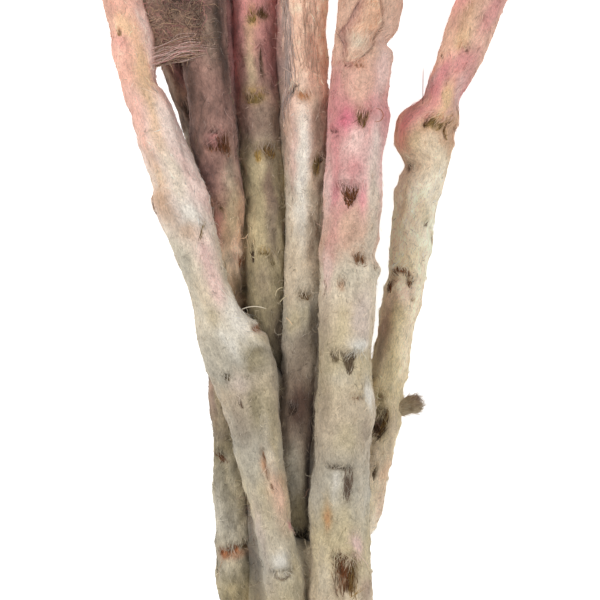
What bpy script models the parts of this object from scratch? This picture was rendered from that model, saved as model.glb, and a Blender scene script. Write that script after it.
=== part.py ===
"""A bunch of seven dyed everlasting flowers on thick woolly stems, tied with twine and laid on its side.

Units are metres and +Z is up. The stems run along +Y, from their cut feet to their flower heads, and fan out from
the tie. The bunch rests on z = 0, on the flat underside of the twine and on the lowest bracts of its open heads.
The origin is at the middle of the bunch's footprint.

Layout tables are in millimetres, counted from the middle of the stripped stretch of stems: y along the bunch,
x across it, r the radius of the stem with its felt.
"""

import math
import random

import bmesh
import bpy
import numpy as np
from mathutils import Matrix, Vector
from mathutils.bvhtree import BVHTree

MM = 0.001
GAP = 0.3  # between pieces that touch
FOOTPRINT_MIDDLE = (3.1, 63.75)  # of the whole bunch, in the layout's x and y

# Twine round the bundle
TIE_Y = -66.0
TWINE_RADIUS = 1.0
TWINE_TURNS = 4
TWINE_PITCH = 1.85
TIE_POINTS = 18
TWINE_FLAT = 0.3  # pressed flat where it lies on the surface
TWINE_SLACK = 1.04  # allowance for the swellings of the stems
KNOT_SIZE = (2.6, 3.0, 1.9)
KNOT_LIFT = 0.8
TWINE_END = ((1.0, 0.0, 1.2), (4.0, -2.0, 2.4), (6.5, -5.0, 2.2))  # from the knot's middle
TWINE_END_RADIUS = 0.9
CUTTER_SIZE = 60.0
BUNDLE_FLOOR = 2 * TWINE_RADIUS - TWINE_FLAT + GAP  # underside of the lowest stems at the tie

# Heights of the stems
HEIGHT_STEP = 2.0
LEAN_ALLOWANCE = 1.03  # for stems that cross at a slant
SMOOTHING_ROUNDS = 40
SMOOTHING_WIDTH = 7
NECK_BEND = 22.0  # last stretch of a stem, which turns its head up
RISE_POWER = 1.6
STATION_SPACING = 12.0
NECK_STATIONS = (6.0, 1.5)  # rings this far before the neck, so that its end stands square to its head
LEAF_BASE_SWELL = 0.035  # share of the radius
LEAF_BASE_PITCH = 7.0
LEAF_BASE_START = 3.7

# Open flower head, in its own frame: neck at the origin, facing +Z
NECK_RADIUS = 2.6
CUP_RADIUS = 6.2
CUP_HEIGHT = 5.4
DISC_RADIUS = 4.1
DISC_HEIGHT = 3.2
DISC_LOBES = 7
DISC_RELIEF = 0.05
# number of bracts, root radius, root height, length, width, rise at the root in degrees, bend in degrees
OUTER_BRACTS = (11, 2.9, 2.8, 17.6, 5.0, 28.0, -30.0)
MIDDLE_BRACTS = (11, 3.9, 3.9, 15.2, 4.8, 46.0, -18.0)
INNER_BRACTS = (8, 4.7, 4.3, 12.4, 4.2, 65.0, -8.0)
BRACT_OUTLINE = (0.34, 1.0, 0.74, 0.0)  # share of the width at the root, at the thirds and at the tip
BRACT_THICKNESS = 0.7
BRACT_TURN_JITTER = 0.08
BRACT_RISE_JITTER = 4.0
BRACT_LENGTHS = (0.93, 1.04)

# Closed bud, in its own frame
BUD_RADIUS = 5.0
BUD_LENGTH = 17.0
BUD_HEIGHT = 11.5  # of its neck above the surface
BUD_FLAT = 0.6  # cut off its lower end, where it meets the neck
BUD_LOW_BRACTS = (7, 2.4, 2.4, 12.5, 5.0, 50.0, 44.0)
BUD_TOP_BRACTS = (6, 3.4, 6.5, 12.5, 4.4, 76.0, 20.0)

# Woolly leaves of the upper stems
LEAF_THICKNESS = 0.9
LEAF_WIDTH = 7.6
LEAF_OUTLINE = (0.5, 0.92, 1.0, 0.0)
LEAF_FOLD = 0.25
LEAF_LONGEST = 25.0
LEAF_SHORTEST = 12.0
LEAF_RISE = 60.0
LEAF_BEND = -16.0
LEAF_SPACING = 6.5
LEAF_LOWEST_Y = 64.0  # the stems are stripped below this
LEAF_NECK_GAP = 9.0  # from the topmost leaf to the neck
LEAF_GROWTH = 3.9  # by which each leaf is longer than the one above it
LEAF_REACH = 0.92  # share of a leaf's length that it covers along the stem
LEAF_ROOT_DEPTH = 1.1
LEAF_TURN_JITTER = 0.25
LEAF_SHARES = (1.0, 0.75, 0.55)  # of its length, tried in turn
LEAF_CLEARANCE = 1.6  # thickness that a leaf is given when it is tried against its neighbours
LEAF_LIFT = 0.6  # least height above the surface
GOLDEN_ANGLE = math.radians(137.5)

# Each stem from foot to neck as (y, x, r), the stems that it lies over, the rise of its head in degrees,
# and its colour
STEMS = {
    "stem_1": {
        "spine": [
            (-86, -5.2, 3.2), (-66, -4.4, 3.2), (-54, -2.6, 3.2), (-41, -5.1, 3.3), (-36, -5.9, 3.4),
            (-30, -7.0, 3.8), (-22, -7.9, 4.6), (-12, -10.9, 5.0), (-5, -13.9, 4.4), (2, -16.1, 3.7),
            (5, -17.7, 3.9), (12, -19.2, 4.2), (15, -20.8, 4.6), (21, -22.1, 4.0), (27, -24.5, 4.3),
            (34, -26.6, 4.5), (39, -28.6, 3.5), (46, -30.2, 3.7), (48, -30.4, 3.3), (54, -31.9, 3.6),
            (80, -39.5, 3.5), (110, -51.5, 3.2), (133, -64.0, 2.6),
        ],
        "over": ("stem_2", "stem_3", "stem_4", "stem_5"),
        "rise": 28.0,
        "colour": (0.80, 0.55, 0.46),
    },
    "stem_2": {
        "spine": [
            (-89, 2.0, 3.0), (-66, 1.9, 3.0), (-54, 2.2, 3.0), (-36, 2.6, 3.2), (-18, -0.5, 3.5),
            (0, -6.6, 3.7), (19, -13.1, 3.8), (29, -16.2, 3.9), (42, -21.0, 4.0), (54, -24.3, 4.1),
            (80, -30.0, 3.7), (110, -35.5, 3.4), (145, -40.5, 3.1), (178, -45.0, 2.6),
        ],
        "over": (),
        "rise": 16.0,
        "colour": (0.22, 0.14, 0.12),
    },
    "stem_3": {
        "spine": [
            (-84, -12.2, 3.1), (-66, -11.2, 3.1), (-54, -11.6, 3.0), (-44, -12.0, 3.1), (-34, -12.3, 3.5),
            (-28, -12.0, 3.3), (-25, -12.1, 3.5), (-13, -12.8, 3.7), (5, -13.9, 3.8), (18, -14.2, 3.8),
            (26, -15.2, 3.8), (29, -15.7, 4.3), (36, -16.0, 3.8), (43, -16.9, 3.9), (54, -17.5, 4.0),
            (80, -19.5, 3.6), (110, -22.5, 3.2), (140, -25.0, 2.6),
        ],
        "over": ("stem_2",),
        "rise": 8.0,
        "colour": (0.30, 0.20, 0.17),
    },
    "stem_4": {
        "spine": [
            (-90, -4.9, 3.1), (-66, -4.6, 3.1), (-54, -4.6, 3.3), (-36, -4.9, 3.4), (-20, -5.0, 3.5),
            (-5, -5.5, 3.6), (7, -5.9, 3.8), (18, -6.2, 3.8), (27, -7.2, 3.9), (36, -7.7, 4.2),
            (40, -7.8, 4.0), (54, -8.3, 4.4), (90, -8.3, 3.8), (130, -7.5, 3.4), (165, -6.5, 3.1),
            (198, -6.0, 2.6),
        ],
        "over": ("stem_2",),
        "rise": 32.0,
        "colour": (0.42, 0.26, 0.22),
    },
    "stem_5": {
        "spine": [
            (-87, -0.4, 3.2), (-66, -0.6, 3.2), (-54, -0.8, 3.2), (-41, -1.3, 3.2), (-30, -1.2, 3.5),
            (-18, -0.2, 3.6), (-9, 0.5, 3.4), (0, 0.7, 3.5), (2, 0.7, 3.2), (18, 0.9, 3.5),
            (27, 1.2, 3.8), (36, 1.2, 4.0), (39, 1.1, 3.7), (54, 0.8, 4.2), (80, 2.0, 3.6),
            (105, 4.0, 3.2), (130, 6.0, 2.6),
        ],
        "over": ("stem_2", "stem_4"),
        "rise": 10.0,
        "colour": (0.60, 0.44, 0.38),
    },
    "stem_6": {
        "spine": [
            (-88, 6.4, 4.2), (-66, 5.9, 4.2), (-54, 6.5, 4.7), (-45, 6.8, 5.0), (-34, 7.4, 5.2),
            (-31, 7.9, 4.9), (-18, 8.4, 5.1), (-9, 8.1, 4.9), (-5, 8.4, 5.1), (6, 8.6, 5.2),
            (8.5, 8.3, 4.7), (14, 8.7, 4.9), (20, 9.5, 5.0), (27, 9.8, 4.9), (31, 10.3, 5.2),
            (34, 10.8, 5.6), (36, 10.4, 4.9), (40, 11.0, 5.2), (45, 11.6, 5.3), (47, 10.7, 4.5),
            (51, 12.2, 5.5), (54, 12.7, 5.6), (62, 13.2, 4.8), (90, 18.0, 4.2), (125, 25.0, 3.6),
            (163, 31.0, 2.6),
        ],
        "over": ("stem_2", "stem_5", "stem_7"),
        "rise": 34.0,
        "colour": (0.78, 0.45, 0.44),
    },
    "stem_7": {
        "spine": [
            (-85, 10.4, 3.4), (-66, 9.6, 3.4), (-54, 9.8, 3.4), (-45, 9.6, 3.2), (-38, 11.2, 3.3),
            (-31, 13.0, 3.3), (-23, 14.9, 3.3), (-14, 15.8, 3.2), (-9, 16.6, 3.3), (-5, 17.2, 3.2),
            (0, 18.8, 3.4), (5, 19.8, 3.3), (12, 20.3, 3.6), (15, 20.9, 3.6), (21, 21.8, 4.3),
            (24, 23.1, 3.7), (27, 22.6, 4.6), (30, 22.5, 5.4), (32, 23.0, 5.2), (34, 25.3, 3.7),
            (37, 25.6, 3.6), (40, 26.5, 4.0), (43, 28.3, 4.0), (47, 29.7, 4.3), (54, 32.8, 4.5),
            (80, 43.5, 4.0), (110, 57.0, 3.4), (135, 70.0, 2.6),
        ],
        "over": (),
        "rise": 24.0,
        "colour": (0.78, 0.50, 0.42),
    },
}
LAYING_ORDER = ("stem_2", "stem_4", "stem_7", "stem_3", "stem_5", "stem_1", "stem_6")
BUDS = ("stem_3", "stem_5")

# Hooked stub of a torn leaf on stem_7, as (x, y, radius), level with the stem's axis
HOOK = [(15.4, -19.8, 1.7), (18.2, -20.4, 1.4), (20.2, -18.6, 1.2), (21.7, -17.8, 1.0), (22.2, -19.2, 0.7)]
# Cushions of wool at leaf bases: stem, y, offset across, offset up, half width, half length
CUSHIONS = [
    ("stem_1", -11.0, 3.6, 0.6, 3.9, 9.0),
    ("stem_6", 52.0, -1.8, 3.6, 3.2, 8.5),
    ("stem_6", -7.5, 0.6, 3.6, 2.6, 2.6),
    ("stem_7", 29.0, -1.4, 2.2, 3.6, 3.6),
    ("stem_3", 29.5, 1.0, 2.4, 2.8, 2.8),
]

FELT_ROUGHNESS = 1.0
BRACT_ROUGHNESS = 0.55
DISC_ROUGHNESS = 0.85
TWINE_ROUGHNESS = 0.9
SHARP_ANGLE = math.radians(40.0)
BRACT_COLOURS = ((0.86, 0.46, 0.50), (0.82, 0.36, 0.44), (0.88, 0.56, 0.54))
DISC_COLOUR = (0.10, 0.045, 0.03)
TWINE_COLOUR = (0.46, 0.33, 0.19)


def clear_scene():
    for obj in list(bpy.data.objects):
        bpy.data.objects.remove(obj, do_unlink=True)


def new_collection(name):
    collection = bpy.data.collections.new(name)
    bpy.context.scene.collection.children.link(collection)
    return collection


def material(name, colour, roughness):
    mat = bpy.data.materials.new(name)
    mat.use_nodes = True
    bsdf = mat.node_tree.nodes["Principled BSDF"]
    bsdf.inputs["Base Color"].default_value = (*colour, 1.0)
    bsdf.inputs["Roughness"].default_value = roughness
    bsdf.inputs["Metallic"].default_value = 0.0
    return mat


def mesh_object(name, bm, collection):
    mesh = bpy.data.meshes.new(name)
    bm.to_mesh(mesh)
    bm.free()
    obj = bpy.data.objects.new(name, mesh)
    collection.objects.link(obj)
    return obj


def curve_through(keys, at):
    """Smooth curve through (place, value) keys: cubic pieces, each with the mean slope of its key's neighbours."""
    place = np.array([k[0] for k in keys], float)
    value = np.array([k[1] for k in keys], float)
    slope = np.gradient(value, place)
    i = np.clip(np.searchsorted(place, at) - 1, 0, len(place) - 2)
    span = place[i + 1] - place[i]
    t = np.clip((at - place[i]) / span, 0.0, 1.0)
    rise = value[i + 1] - value[i]
    return (
        value[i]
        + rise * t * t * (3 - 2 * t)
        + span * t * (1 - t) * (slope[i] * (1 - t) - slope[i + 1] * t)
    )


def across(name, y):
    return curve_through([(k[0], k[1]) for k in STEMS[name]["spine"]], y)


def radius(name, y):
    return curve_through([(k[0], k[2]) for k in STEMS[name]["spine"]], y)


def foot_y(name):
    return STEMS[name]["spine"][0][0]


def neck_y(name):
    return STEMS[name]["spine"][-1][0]


def height_over(name, y, heights):
    """Lowest height of a stem's axis that clears each stem it lies over."""
    need = np.full(len(y), -np.inf)
    for other in STEMS[name]["over"]:
        reach = (radius(name, y) + radius(other, y) + GAP) * LEAN_ALLOWANCE
        apart = across(name, y) - across(other, y)
        lift = np.sqrt(np.maximum(reach**2 - apart**2, 0.0))
        there = (np.abs(apart) < reach) & (y >= foot_y(other)) & (y <= neck_y(other))
        need = np.where(there, np.maximum(need, np.interp(y, *heights[other]) + lift), need)
    return need


def spread(values, least):
    """Smooths a hump along the stem without letting it sink under its least height."""
    for _ in range(SMOOTHING_ROUNDS):
        padded = np.pad(values, SMOOTHING_WIDTH // 2, mode="edge")
        mean = np.convolve(padded, np.ones(SMOOTHING_WIDTH) / SMOOTHING_WIDTH, mode="valid")
        values = np.maximum(mean, least)
    return values


def lay_stem(name, neck_height, heights):
    """Heights of a stem's axis from foot to neck: a rising line, a hump where it crosses others, a bend at the neck."""
    y = np.arange(foot_y(name), neck_y(name) + HEIGHT_STEP / 2, HEIGHT_STEP)
    y[-1] = neck_y(name)
    need = height_over(name, y, heights)
    start = max(BUNDLE_FLOOR + float(radius(name, TIE_Y)), float(np.interp(TIE_Y, y, need)))
    run = neck_y(name) - TIE_Y
    slope = math.tan(math.radians(STEMS[name]["rise"]))
    share = RISE_POWER * NECK_BEND / 2 / run
    end = (neck_height - slope * NECK_BEND / 2 - start * share) / (1 - share)
    bend = slope - RISE_POWER * (end - start) / run
    t = np.clip((y - TIE_Y) / run, 0.0, 1.0)
    into_bend = np.clip(y - (neck_y(name) - NECK_BEND), 0.0, None)
    line = start + (end - start) * t**RISE_POWER + bend * into_bend**2 / (2 * NECK_BEND)
    missing = np.maximum(need - line, 0.0)
    return y, line + spread(missing, missing)


def head_axis(name):
    """Direction that a stem's neck and its head point in."""
    last = neck_y(name)
    lean = float(across(name, last) - across(name, last - 1.0))
    return Vector((lean, 1.0, math.tan(math.radians(STEMS[name]["rise"])))).normalized()


def frame_at(point, axis, spin=0.0):
    """Matrix that stands a piece modelled along +Z at a point, facing along an axis."""
    turn = axis.to_track_quat("Z", "Y").to_matrix().to_4x4()
    return Matrix.Translation(point) @ turn @ Matrix.Rotation(spin, 4, "Z")


def blade(length, width, thickness, bend, outline, halves=1, fold=0.0):
    """Closed pointed blade along +Y from the origin, its middle line bending by a steady turn towards +Z."""
    bm = bmesh.new()
    rows = 3
    bmesh.ops.create_grid(bm, x_segments=halves, y_segments=rows, size=1.0)
    along, up = [0.0], [0.0]
    for row in range(rows):
        angle = math.radians(bend) * (row + 0.5) / rows
        along.append(along[-1] + math.cos(angle) * length / rows)
        up.append(up[-1] + math.sin(angle) * length / rows)
    for vert in bm.verts:
        row = round((vert.co.y + 1.0) / 2.0 * rows)
        side = vert.co.x
        half_width = width / 2 * outline[row]
        vert.co = Vector((side * half_width, along[row], up[row] + abs(side) * fold * half_width))
    bmesh.ops.remove_doubles(bm, verts=bm.verts, dist=1e-4)
    bm.normal_update()
    raised = bmesh.ops.extrude_face_region(bm, geom=bm.faces[:], use_keep_orig=True)["geom"]
    bm.normal_update()
    for vert in [item for item in raised if isinstance(item, bmesh.types.BMVert)]:
        vert.co += vert.normal * thickness
    bmesh.ops.recalc_face_normals(bm, faces=bm.faces)
    return bm


def placed(bm, matrix):
    """Moves a shape in millimetres to its place, in metres from the origin."""
    middle = Vector((FOOTPRINT_MIDDLE[0], FOOTPRINT_MIDDLE[1], 0.0))
    bm.transform(Matrix.Scale(MM, 4) @ Matrix.Translation(-middle) @ matrix)
    return bm


def bract_ring(ring, jitter, start):
    """Blades of one ring of bracts, in the head's own frame, as (bmesh, matrix)."""
    number, root_radius, root_height, length, width, rise, bend = ring
    for i in range(number):
        turn = start + (i + jitter.uniform(-BRACT_TURN_JITTER, BRACT_TURN_JITTER)) * math.tau / number
        matrix = (
            Matrix.Rotation(turn, 4, "Z")
            @ Matrix.Translation((0.0, root_radius, root_height))
            @ Matrix.Rotation(
                math.radians(rise + jitter.uniform(-BRACT_RISE_JITTER, BRACT_RISE_JITTER)), 4, "X"
            )
        )
        long = length * jitter.uniform(*BRACT_LENGTHS)
        yield blade(long, width, BRACT_THICKNESS, bend, BRACT_OUTLINE), matrix


def fuse(core, pieces):
    """Joins closed pieces to a core in one solid, and removes the pieces."""
    joined = new_collection(core.name + "_pieces")
    for i, bm in enumerate(pieces):
        mesh_object(f"{core.name}_piece_{i}", bm, joined)
    union = core.modifiers.new("join", "BOOLEAN")
    union.operation = "UNION"
    union.operand_type = "COLLECTION"
    union.collection = joined
    union.solver = "MANIFOLD"
    depsgraph = bpy.context.evaluated_depsgraph_get()
    mesh = bpy.data.meshes.new_from_object(core.evaluated_get(depsgraph))
    core.modifiers.clear()
    core.data = mesh
    for obj in list(joined.objects):
        bpy.data.objects.remove(obj, do_unlink=True)
    bpy.data.collections.remove(joined)


def tube(name, points, radii, collection, sides=8, cyclic=False):
    """Closed tube along points in layout millimetres, from a curve with a bevel."""
    curve = bpy.data.curves.new(name, "CURVE")
    curve.dimensions = "3D"
    curve.bevel_depth = MM
    curve.bevel_resolution = (sides - 4) // 2
    curve.use_fill_caps = not cyclic
    spline = curve.splines.new("POLY")
    spline.points.add(len(points) - 1)
    middle = Vector((FOOTPRINT_MIDDLE[0], FOOTPRINT_MIDDLE[1], 0.0))
    for spot, place, r in zip(spline.points, points, radii):
        spot.co = (*((Vector(place) - middle) * MM), 1.0)
        spot.radius = r
    spline.use_cyclic_u = cyclic
    guide = bpy.data.objects.new(name + "_curve", curve)
    collection.objects.link(guide)
    depsgraph = bpy.context.evaluated_depsgraph_get()
    depsgraph.update()
    mesh = bpy.data.meshes.new_from_object(guide.evaluated_get(depsgraph))
    bm = bmesh.new()
    bm.from_mesh(mesh)
    bm.transform(guide.matrix_world)
    bmesh.ops.remove_doubles(bm, verts=bm.verts, dist=1e-6)
    bmesh.ops.recalc_face_normals(bm, faces=bm.faces)
    bpy.data.objects.remove(guide, do_unlink=True)
    bpy.data.meshes.remove(mesh)
    return bm


def stem_point(name, y, heights):
    return Vector((float(across(name, y)), y, float(np.interp(y, *heights[name]))))


def stem_axis(name, y, heights):
    return (stem_point(name, y + 1.0, heights) - stem_point(name, y - 1.0, heights)).normalized()


def stem_stations(name):
    """Places along a stem that its solid has a ring at: the keys, and between far keys a few more."""
    keys = [k[0] for k in STEMS[name]["spine"]]
    stations = [keys[0]]
    for low, high in zip(keys, keys[1:]):
        parts = max(1, round((high - low) / STATION_SPACING))
        stations += [low + (high - low) * (i + 1) / parts for i in range(parts)]
    return sorted(stations + [neck_y(name) - back for back in NECK_STATIONS])


def swelling(name, y):
    """Factor on a stem's radius for the small steady swellings of its leaf bases."""
    return 1.0 + LEAF_BASE_SWELL * math.sin(math.tau * y / LEAF_BASE_PITCH + LEAF_BASE_START + int(name[-1]))


def cushion(name, y, side, up, half_width, half_length, heights):
    """Swelling of wool, an egg laid along the stem."""
    bm = bmesh.new()
    bmesh.ops.create_uvsphere(bm, u_segments=8, v_segments=6, radius=1.0)
    bmesh.ops.scale(bm, vec=(half_width, half_width, half_length), verts=bm.verts)
    centre = stem_point(name, y, heights) + Vector((side, 0.0, up))
    return placed(bm, frame_at(centre, stem_axis(name, y, heights)))


def hook(heights, collection):
    """Hooked stub of a torn leaf on stem_7."""
    level = stem_point("stem_7", HOOK[0][1], heights).z
    points = [(x, y, level) for x, y, r in HOOK]
    return tube("hook", points, [r for x, y, r in HOOK], collection, sides=6)


def make_stem(name, heights, collection):
    stations = stem_stations(name)
    points = [stem_point(name, y, heights) for y in stations]
    radii = [float(radius(name, y)) * swelling(name, y) for y in stations]
    radii[-1] = NECK_RADIUS
    obj = mesh_object(name, tube(name, points, radii, collection), collection)
    obj.data.materials.append(material(name + "_felt", STEMS[name]["colour"], FELT_ROUGHNESS))
    return obj


def stem_extras(name, heights, collection):
    """Cushions and stubs that belong to a stem."""
    pieces = [cushion(*c, heights) for c in CUSHIONS if c[0] == name]
    if name == "stem_7":
        pieces.append(hook(heights, collection))
    return pieces


def tree_of(obj):
    bm = bmesh.new()
    bm.from_mesh(obj.data)
    tree = BVHTree.FromBMesh(bm)
    bm.free()
    return tree


def leaf(length, thickness, matrix):
    width = LEAF_WIDTH * (0.5 + 0.5 * length / LEAF_LONGEST)
    return placed(blade(length, width, thickness, LEAF_BEND, LEAF_OUTLINE, 2, LEAF_FOLD), matrix)


def leaf_matrix(name, y, turn, heights):
    root = float(radius(name, y)) - LEAF_ROOT_DEPTH
    return (
        frame_at(stem_point(name, y, heights), stem_axis(name, y, heights))
        @ Matrix.Rotation(turn, 4, "Z")
        @ Matrix.Translation((0.0, root, 0.0))
        @ Matrix.Rotation(math.radians(LEAF_RISE), 4, "X")
    )


def has_room(bm, tree, name, trees):
    """True where a leaf touches no other piece and stays above the surface."""
    if min(v.co.z for v in bm.verts) < LEAF_LIFT * MM:
        return False
    return not any(tree.overlap(other) for owner, other in trees if owner != name)


def grow_leaves(name, heights, trees):
    """Leaves set in a golden-angle spiral, shortened or left out where a neighbour is in the way."""
    jitter = random.Random(name)
    leaves = []
    topmost = neck_y(name) - LEAF_NECK_GAP
    for i in range(int((topmost - LEAF_LOWEST_Y) / LEAF_SPACING)):
        y = topmost - LEAF_SPACING * i
        turn = GOLDEN_ANGLE * i + jitter.uniform(-LEAF_TURN_JITTER, LEAF_TURN_JITTER)
        matrix = leaf_matrix(name, y, turn, heights)
        longest = min(LEAF_LONGEST, LEAF_SHORTEST + LEAF_GROWTH * i, (neck_y(name) - y) / LEAF_REACH)
        for share in LEAF_SHARES:
            wide = leaf(longest * share, LEAF_CLEARANCE, matrix)
            tree = BVHTree.FromBMesh(wide)
            clear = has_room(wide, tree, name, trees)
            wide.free()
            if clear:
                trees.append((name, tree))
                leaves.append(leaf(longest * share, LEAF_THICKNESS, matrix))
                break
    return leaves


def make_head(name, number, matrix, collection):
    """Open head: a cup with three rings of papery bracts."""
    jitter = random.Random(number)
    bm = bmesh.new()
    bmesh.ops.create_cone(
        bm, cap_ends=True, segments=12, radius1=NECK_RADIUS, radius2=CUP_RADIUS, depth=CUP_HEIGHT
    )
    lift = Matrix.Translation((0.0, 0.0, GAP + CUP_HEIGHT / 2))
    core = mesh_object(name, placed(bm, matrix @ lift), collection)
    pieces = []
    for step, ring in enumerate((OUTER_BRACTS, MIDDLE_BRACTS, INNER_BRACTS)):
        start = number + step * 0.5 * math.tau / ring[0]
        pieces += [placed(b, matrix @ m) for b, m in bract_ring(ring, jitter, start)]
    fuse(core, pieces)
    colour = BRACT_COLOURS[number % len(BRACT_COLOURS)]
    core.data.materials.append(material(name + "_papery", colour, BRACT_ROUGHNESS))
    return core


def make_disc(name, matrix, collection):
    """Dark lobed dome of florets in the middle of an open head."""
    bm = bmesh.new()
    bmesh.ops.create_uvsphere(bm, u_segments=14, v_segments=8, radius=1.0)
    for vert in bm.verts:
        turn = math.atan2(vert.co.y, vert.co.x)
        side = 0.05 < vert.co.z < 0.95
        relief = 1.0 + DISC_RELIEF * math.cos(DISC_LOBES * turn) * side
        vert.co.x *= DISC_RADIUS * relief
        vert.co.y *= DISC_RADIUS * relief
        vert.co.z = max(vert.co.z, 0.0) * DISC_HEIGHT
    seat = Matrix.Translation((0.0, 0.0, 2 * GAP + CUP_HEIGHT))
    obj = mesh_object(name, placed(bm, matrix @ seat), collection)
    obj.data.materials.append(material(name + "_florets", DISC_COLOUR, DISC_ROUGHNESS))
    return obj


def make_bud(name, number, matrix, collection):
    """Closed bud: an egg with two rings of bracts lapped up over it."""
    jitter = random.Random(number)
    bm = bmesh.new()
    bmesh.ops.create_uvsphere(bm, u_segments=10, v_segments=8, radius=1.0)
    for vert in bm.verts:
        vert.co.x *= BUD_RADIUS
        vert.co.y *= BUD_RADIUS
        vert.co.z = max((vert.co.z + 1.0) * BUD_LENGTH / 2, BUD_FLAT)
    seat = Matrix.Translation((0.0, 0.0, GAP - BUD_FLAT))
    core = mesh_object(name, placed(bm, matrix @ seat), collection)
    pieces = []
    for step, ring in enumerate((BUD_LOW_BRACTS, BUD_TOP_BRACTS)):
        start = number + step * 0.5 * math.tau / ring[0]
        pieces += [placed(b, matrix @ m) for b, m in bract_ring(ring, jitter, start)]
    fuse(core, pieces)
    colour = BRACT_COLOURS[number % len(BRACT_COLOURS)]
    core.data.materials.append(material(name + "_papery", colour, BRACT_ROUGHNESS))
    return core


def neck_height(name, collection):
    """Height of a neck: an open head rests on its lowest bract, and a bud is held clear of the surface."""
    if name in BUDS:
        return BUD_HEIGHT
    trial = make_head("trial", int(name[-1]), frame_at(Vector((0, 0, 0)), head_axis(name)), collection)
    depth = min(v.co.z for v in trial.data.vertices) / MM
    bpy.data.objects.remove(trial, do_unlink=True)
    return -depth


def tie_outline(heights):
    """Path of the twine round the bundle: the stretched outline of the stems at the tie."""
    circles = []
    for name in STEMS:
        point = stem_point(name, TIE_Y, heights)
        reach = float(radius(name, TIE_Y)) * TWINE_SLACK + GAP + TWINE_RADIUS
        circles.append((point.x, point.z, reach))
    outline = []
    for i in range(TIE_POINTS):
        angle = math.tau * (i + 0.5) / TIE_POINTS
        nx, nz = math.cos(angle), math.sin(angle)
        x, z, r = max(circles, key=lambda c: c[0] * nx + c[1] * nz + c[2])
        outline.append((x + r * nx, z + r * nz))
    return outline


def make_tie(heights, collection):
    """Four turns of twine drawn tight, with a knot and two cut ends on top, flat where they lie on the surface."""
    outline = tie_outline(heights)
    turns = []
    for i in range(TWINE_TURNS):
        y = TIE_Y + (i - (TWINE_TURNS - 1) / 2) * TWINE_PITCH
        points = [(x, y, z) for x, z in outline]
        turns.append(tube("turn", points, [TWINE_RADIUS] * len(points), collection, sides=6, cyclic=True))
    top = max(outline, key=lambda p: p[1])
    knot = bmesh.new()
    bmesh.ops.create_uvsphere(knot, u_segments=8, v_segments=6, radius=1.0)
    bmesh.ops.scale(knot, vec=KNOT_SIZE, verts=knot.verts)
    turns.append(placed(knot, Matrix.Translation((top[0], TIE_Y, top[1] + KNOT_LIFT))))
    for side in (-1, 1):
        end = [(top[0] + side * x, TIE_Y + y, top[1] + z) for x, y, z in TWINE_END]
        turns.append(tube("end", end, [TWINE_END_RADIUS] * len(end), collection, sides=6))
    obj = mesh_object("tie", turns[0], collection)
    fuse(obj, turns[1:])
    flatten(obj)
    obj.data.materials.append(material("twine", TWINE_COLOUR, TWINE_ROUGHNESS))
    return obj


def flatten(obj):
    """Cuts a piece flat at the surface that the bunch lies on."""
    bm = bmesh.new()
    bmesh.ops.create_cube(bm, size=CUTTER_SIZE)
    below = Matrix.Translation((0.0, TIE_Y, -CUTTER_SIZE / 2))
    cutter = mesh_object("surface_cutter", placed(bm, below), new_collection("cutters"))
    cut = obj.modifiers.new("flat", "BOOLEAN")
    cut.operation = "DIFFERENCE"
    cut.object = cutter
    cut.solver = "EXACT"
    depsgraph = bpy.context.evaluated_depsgraph_get()
    obj.data = bpy.data.meshes.new_from_object(obj.evaluated_get(depsgraph))
    obj.modifiers.clear()
    bpy.data.objects.remove(cutter, do_unlink=True)


def main():
    clear_scene()
    bunch = new_collection("preserved_flower_bunch")
    heights = {}
    for name in LAYING_ORDER:
        heights[name] = lay_stem(name, neck_height(name, bunch), heights)
    trees = []
    stems = {name: make_stem(name, heights, bunch) for name in STEMS}
    for name, obj in stems.items():
        trees.append((name, tree_of(obj)))
        number = int(name[-1])
        matrix = frame_at(stem_point(name, neck_y(name), heights), head_axis(name))
        if name in BUDS:
            bloom = make_bud(f"bud_{number}", number, matrix, bunch)
        else:
            bloom = make_head(f"head_{number}", number, matrix, bunch)
            make_disc(f"disc_{number}", matrix, bunch)
        trees.append(("bloom", tree_of(bloom)))
    for name, obj in stems.items():
        fuse(obj, stem_extras(name, heights, bunch) + grow_leaves(name, heights, trees))
    make_tie(heights, bunch)
    for obj in bunch.objects:
        obj.data.shade_smooth()
        obj.data.set_sharp_from_angle(angle=SHARP_ANGLE)


main()
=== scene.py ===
"""The dressed model of a bunch of dyed everlasting flowers, lying on a pale table and seen from above.

The bunch is made up in the order that it is gathered: the woolly stems, their leaf scars and loose wool, the
leaves left on them, the papery heads and buds, the cut feet, and the twine. Tables are in layout millimetres,
as the part's own: y along the bunch from the middle of the photographed stretch, x across it, z up.
"""

import math
import random

import bpy
import numpy as np
from mathutils import Matrix, Vector


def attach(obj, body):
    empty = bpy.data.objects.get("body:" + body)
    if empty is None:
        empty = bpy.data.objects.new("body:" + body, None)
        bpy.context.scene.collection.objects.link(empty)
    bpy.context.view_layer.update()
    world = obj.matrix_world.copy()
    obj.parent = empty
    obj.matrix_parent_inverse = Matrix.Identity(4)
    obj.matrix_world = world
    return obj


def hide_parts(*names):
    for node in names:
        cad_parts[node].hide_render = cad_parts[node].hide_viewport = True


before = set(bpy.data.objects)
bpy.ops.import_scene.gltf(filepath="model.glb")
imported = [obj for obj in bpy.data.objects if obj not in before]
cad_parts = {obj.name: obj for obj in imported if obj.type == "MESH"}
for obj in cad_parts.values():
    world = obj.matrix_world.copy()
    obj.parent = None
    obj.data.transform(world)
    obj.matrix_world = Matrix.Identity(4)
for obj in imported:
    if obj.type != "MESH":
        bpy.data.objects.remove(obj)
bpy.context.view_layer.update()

# Table, lamps and camera. The table is a matt white sheet with a faint glow, which keeps the shadows light.
# Two soft lamps stand left and right above it in a pale room. The camera looks straight down from far off
# at the stripped stretch, so that the stems lean in the picture as they do in the photograph.
MM = 0.001
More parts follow.
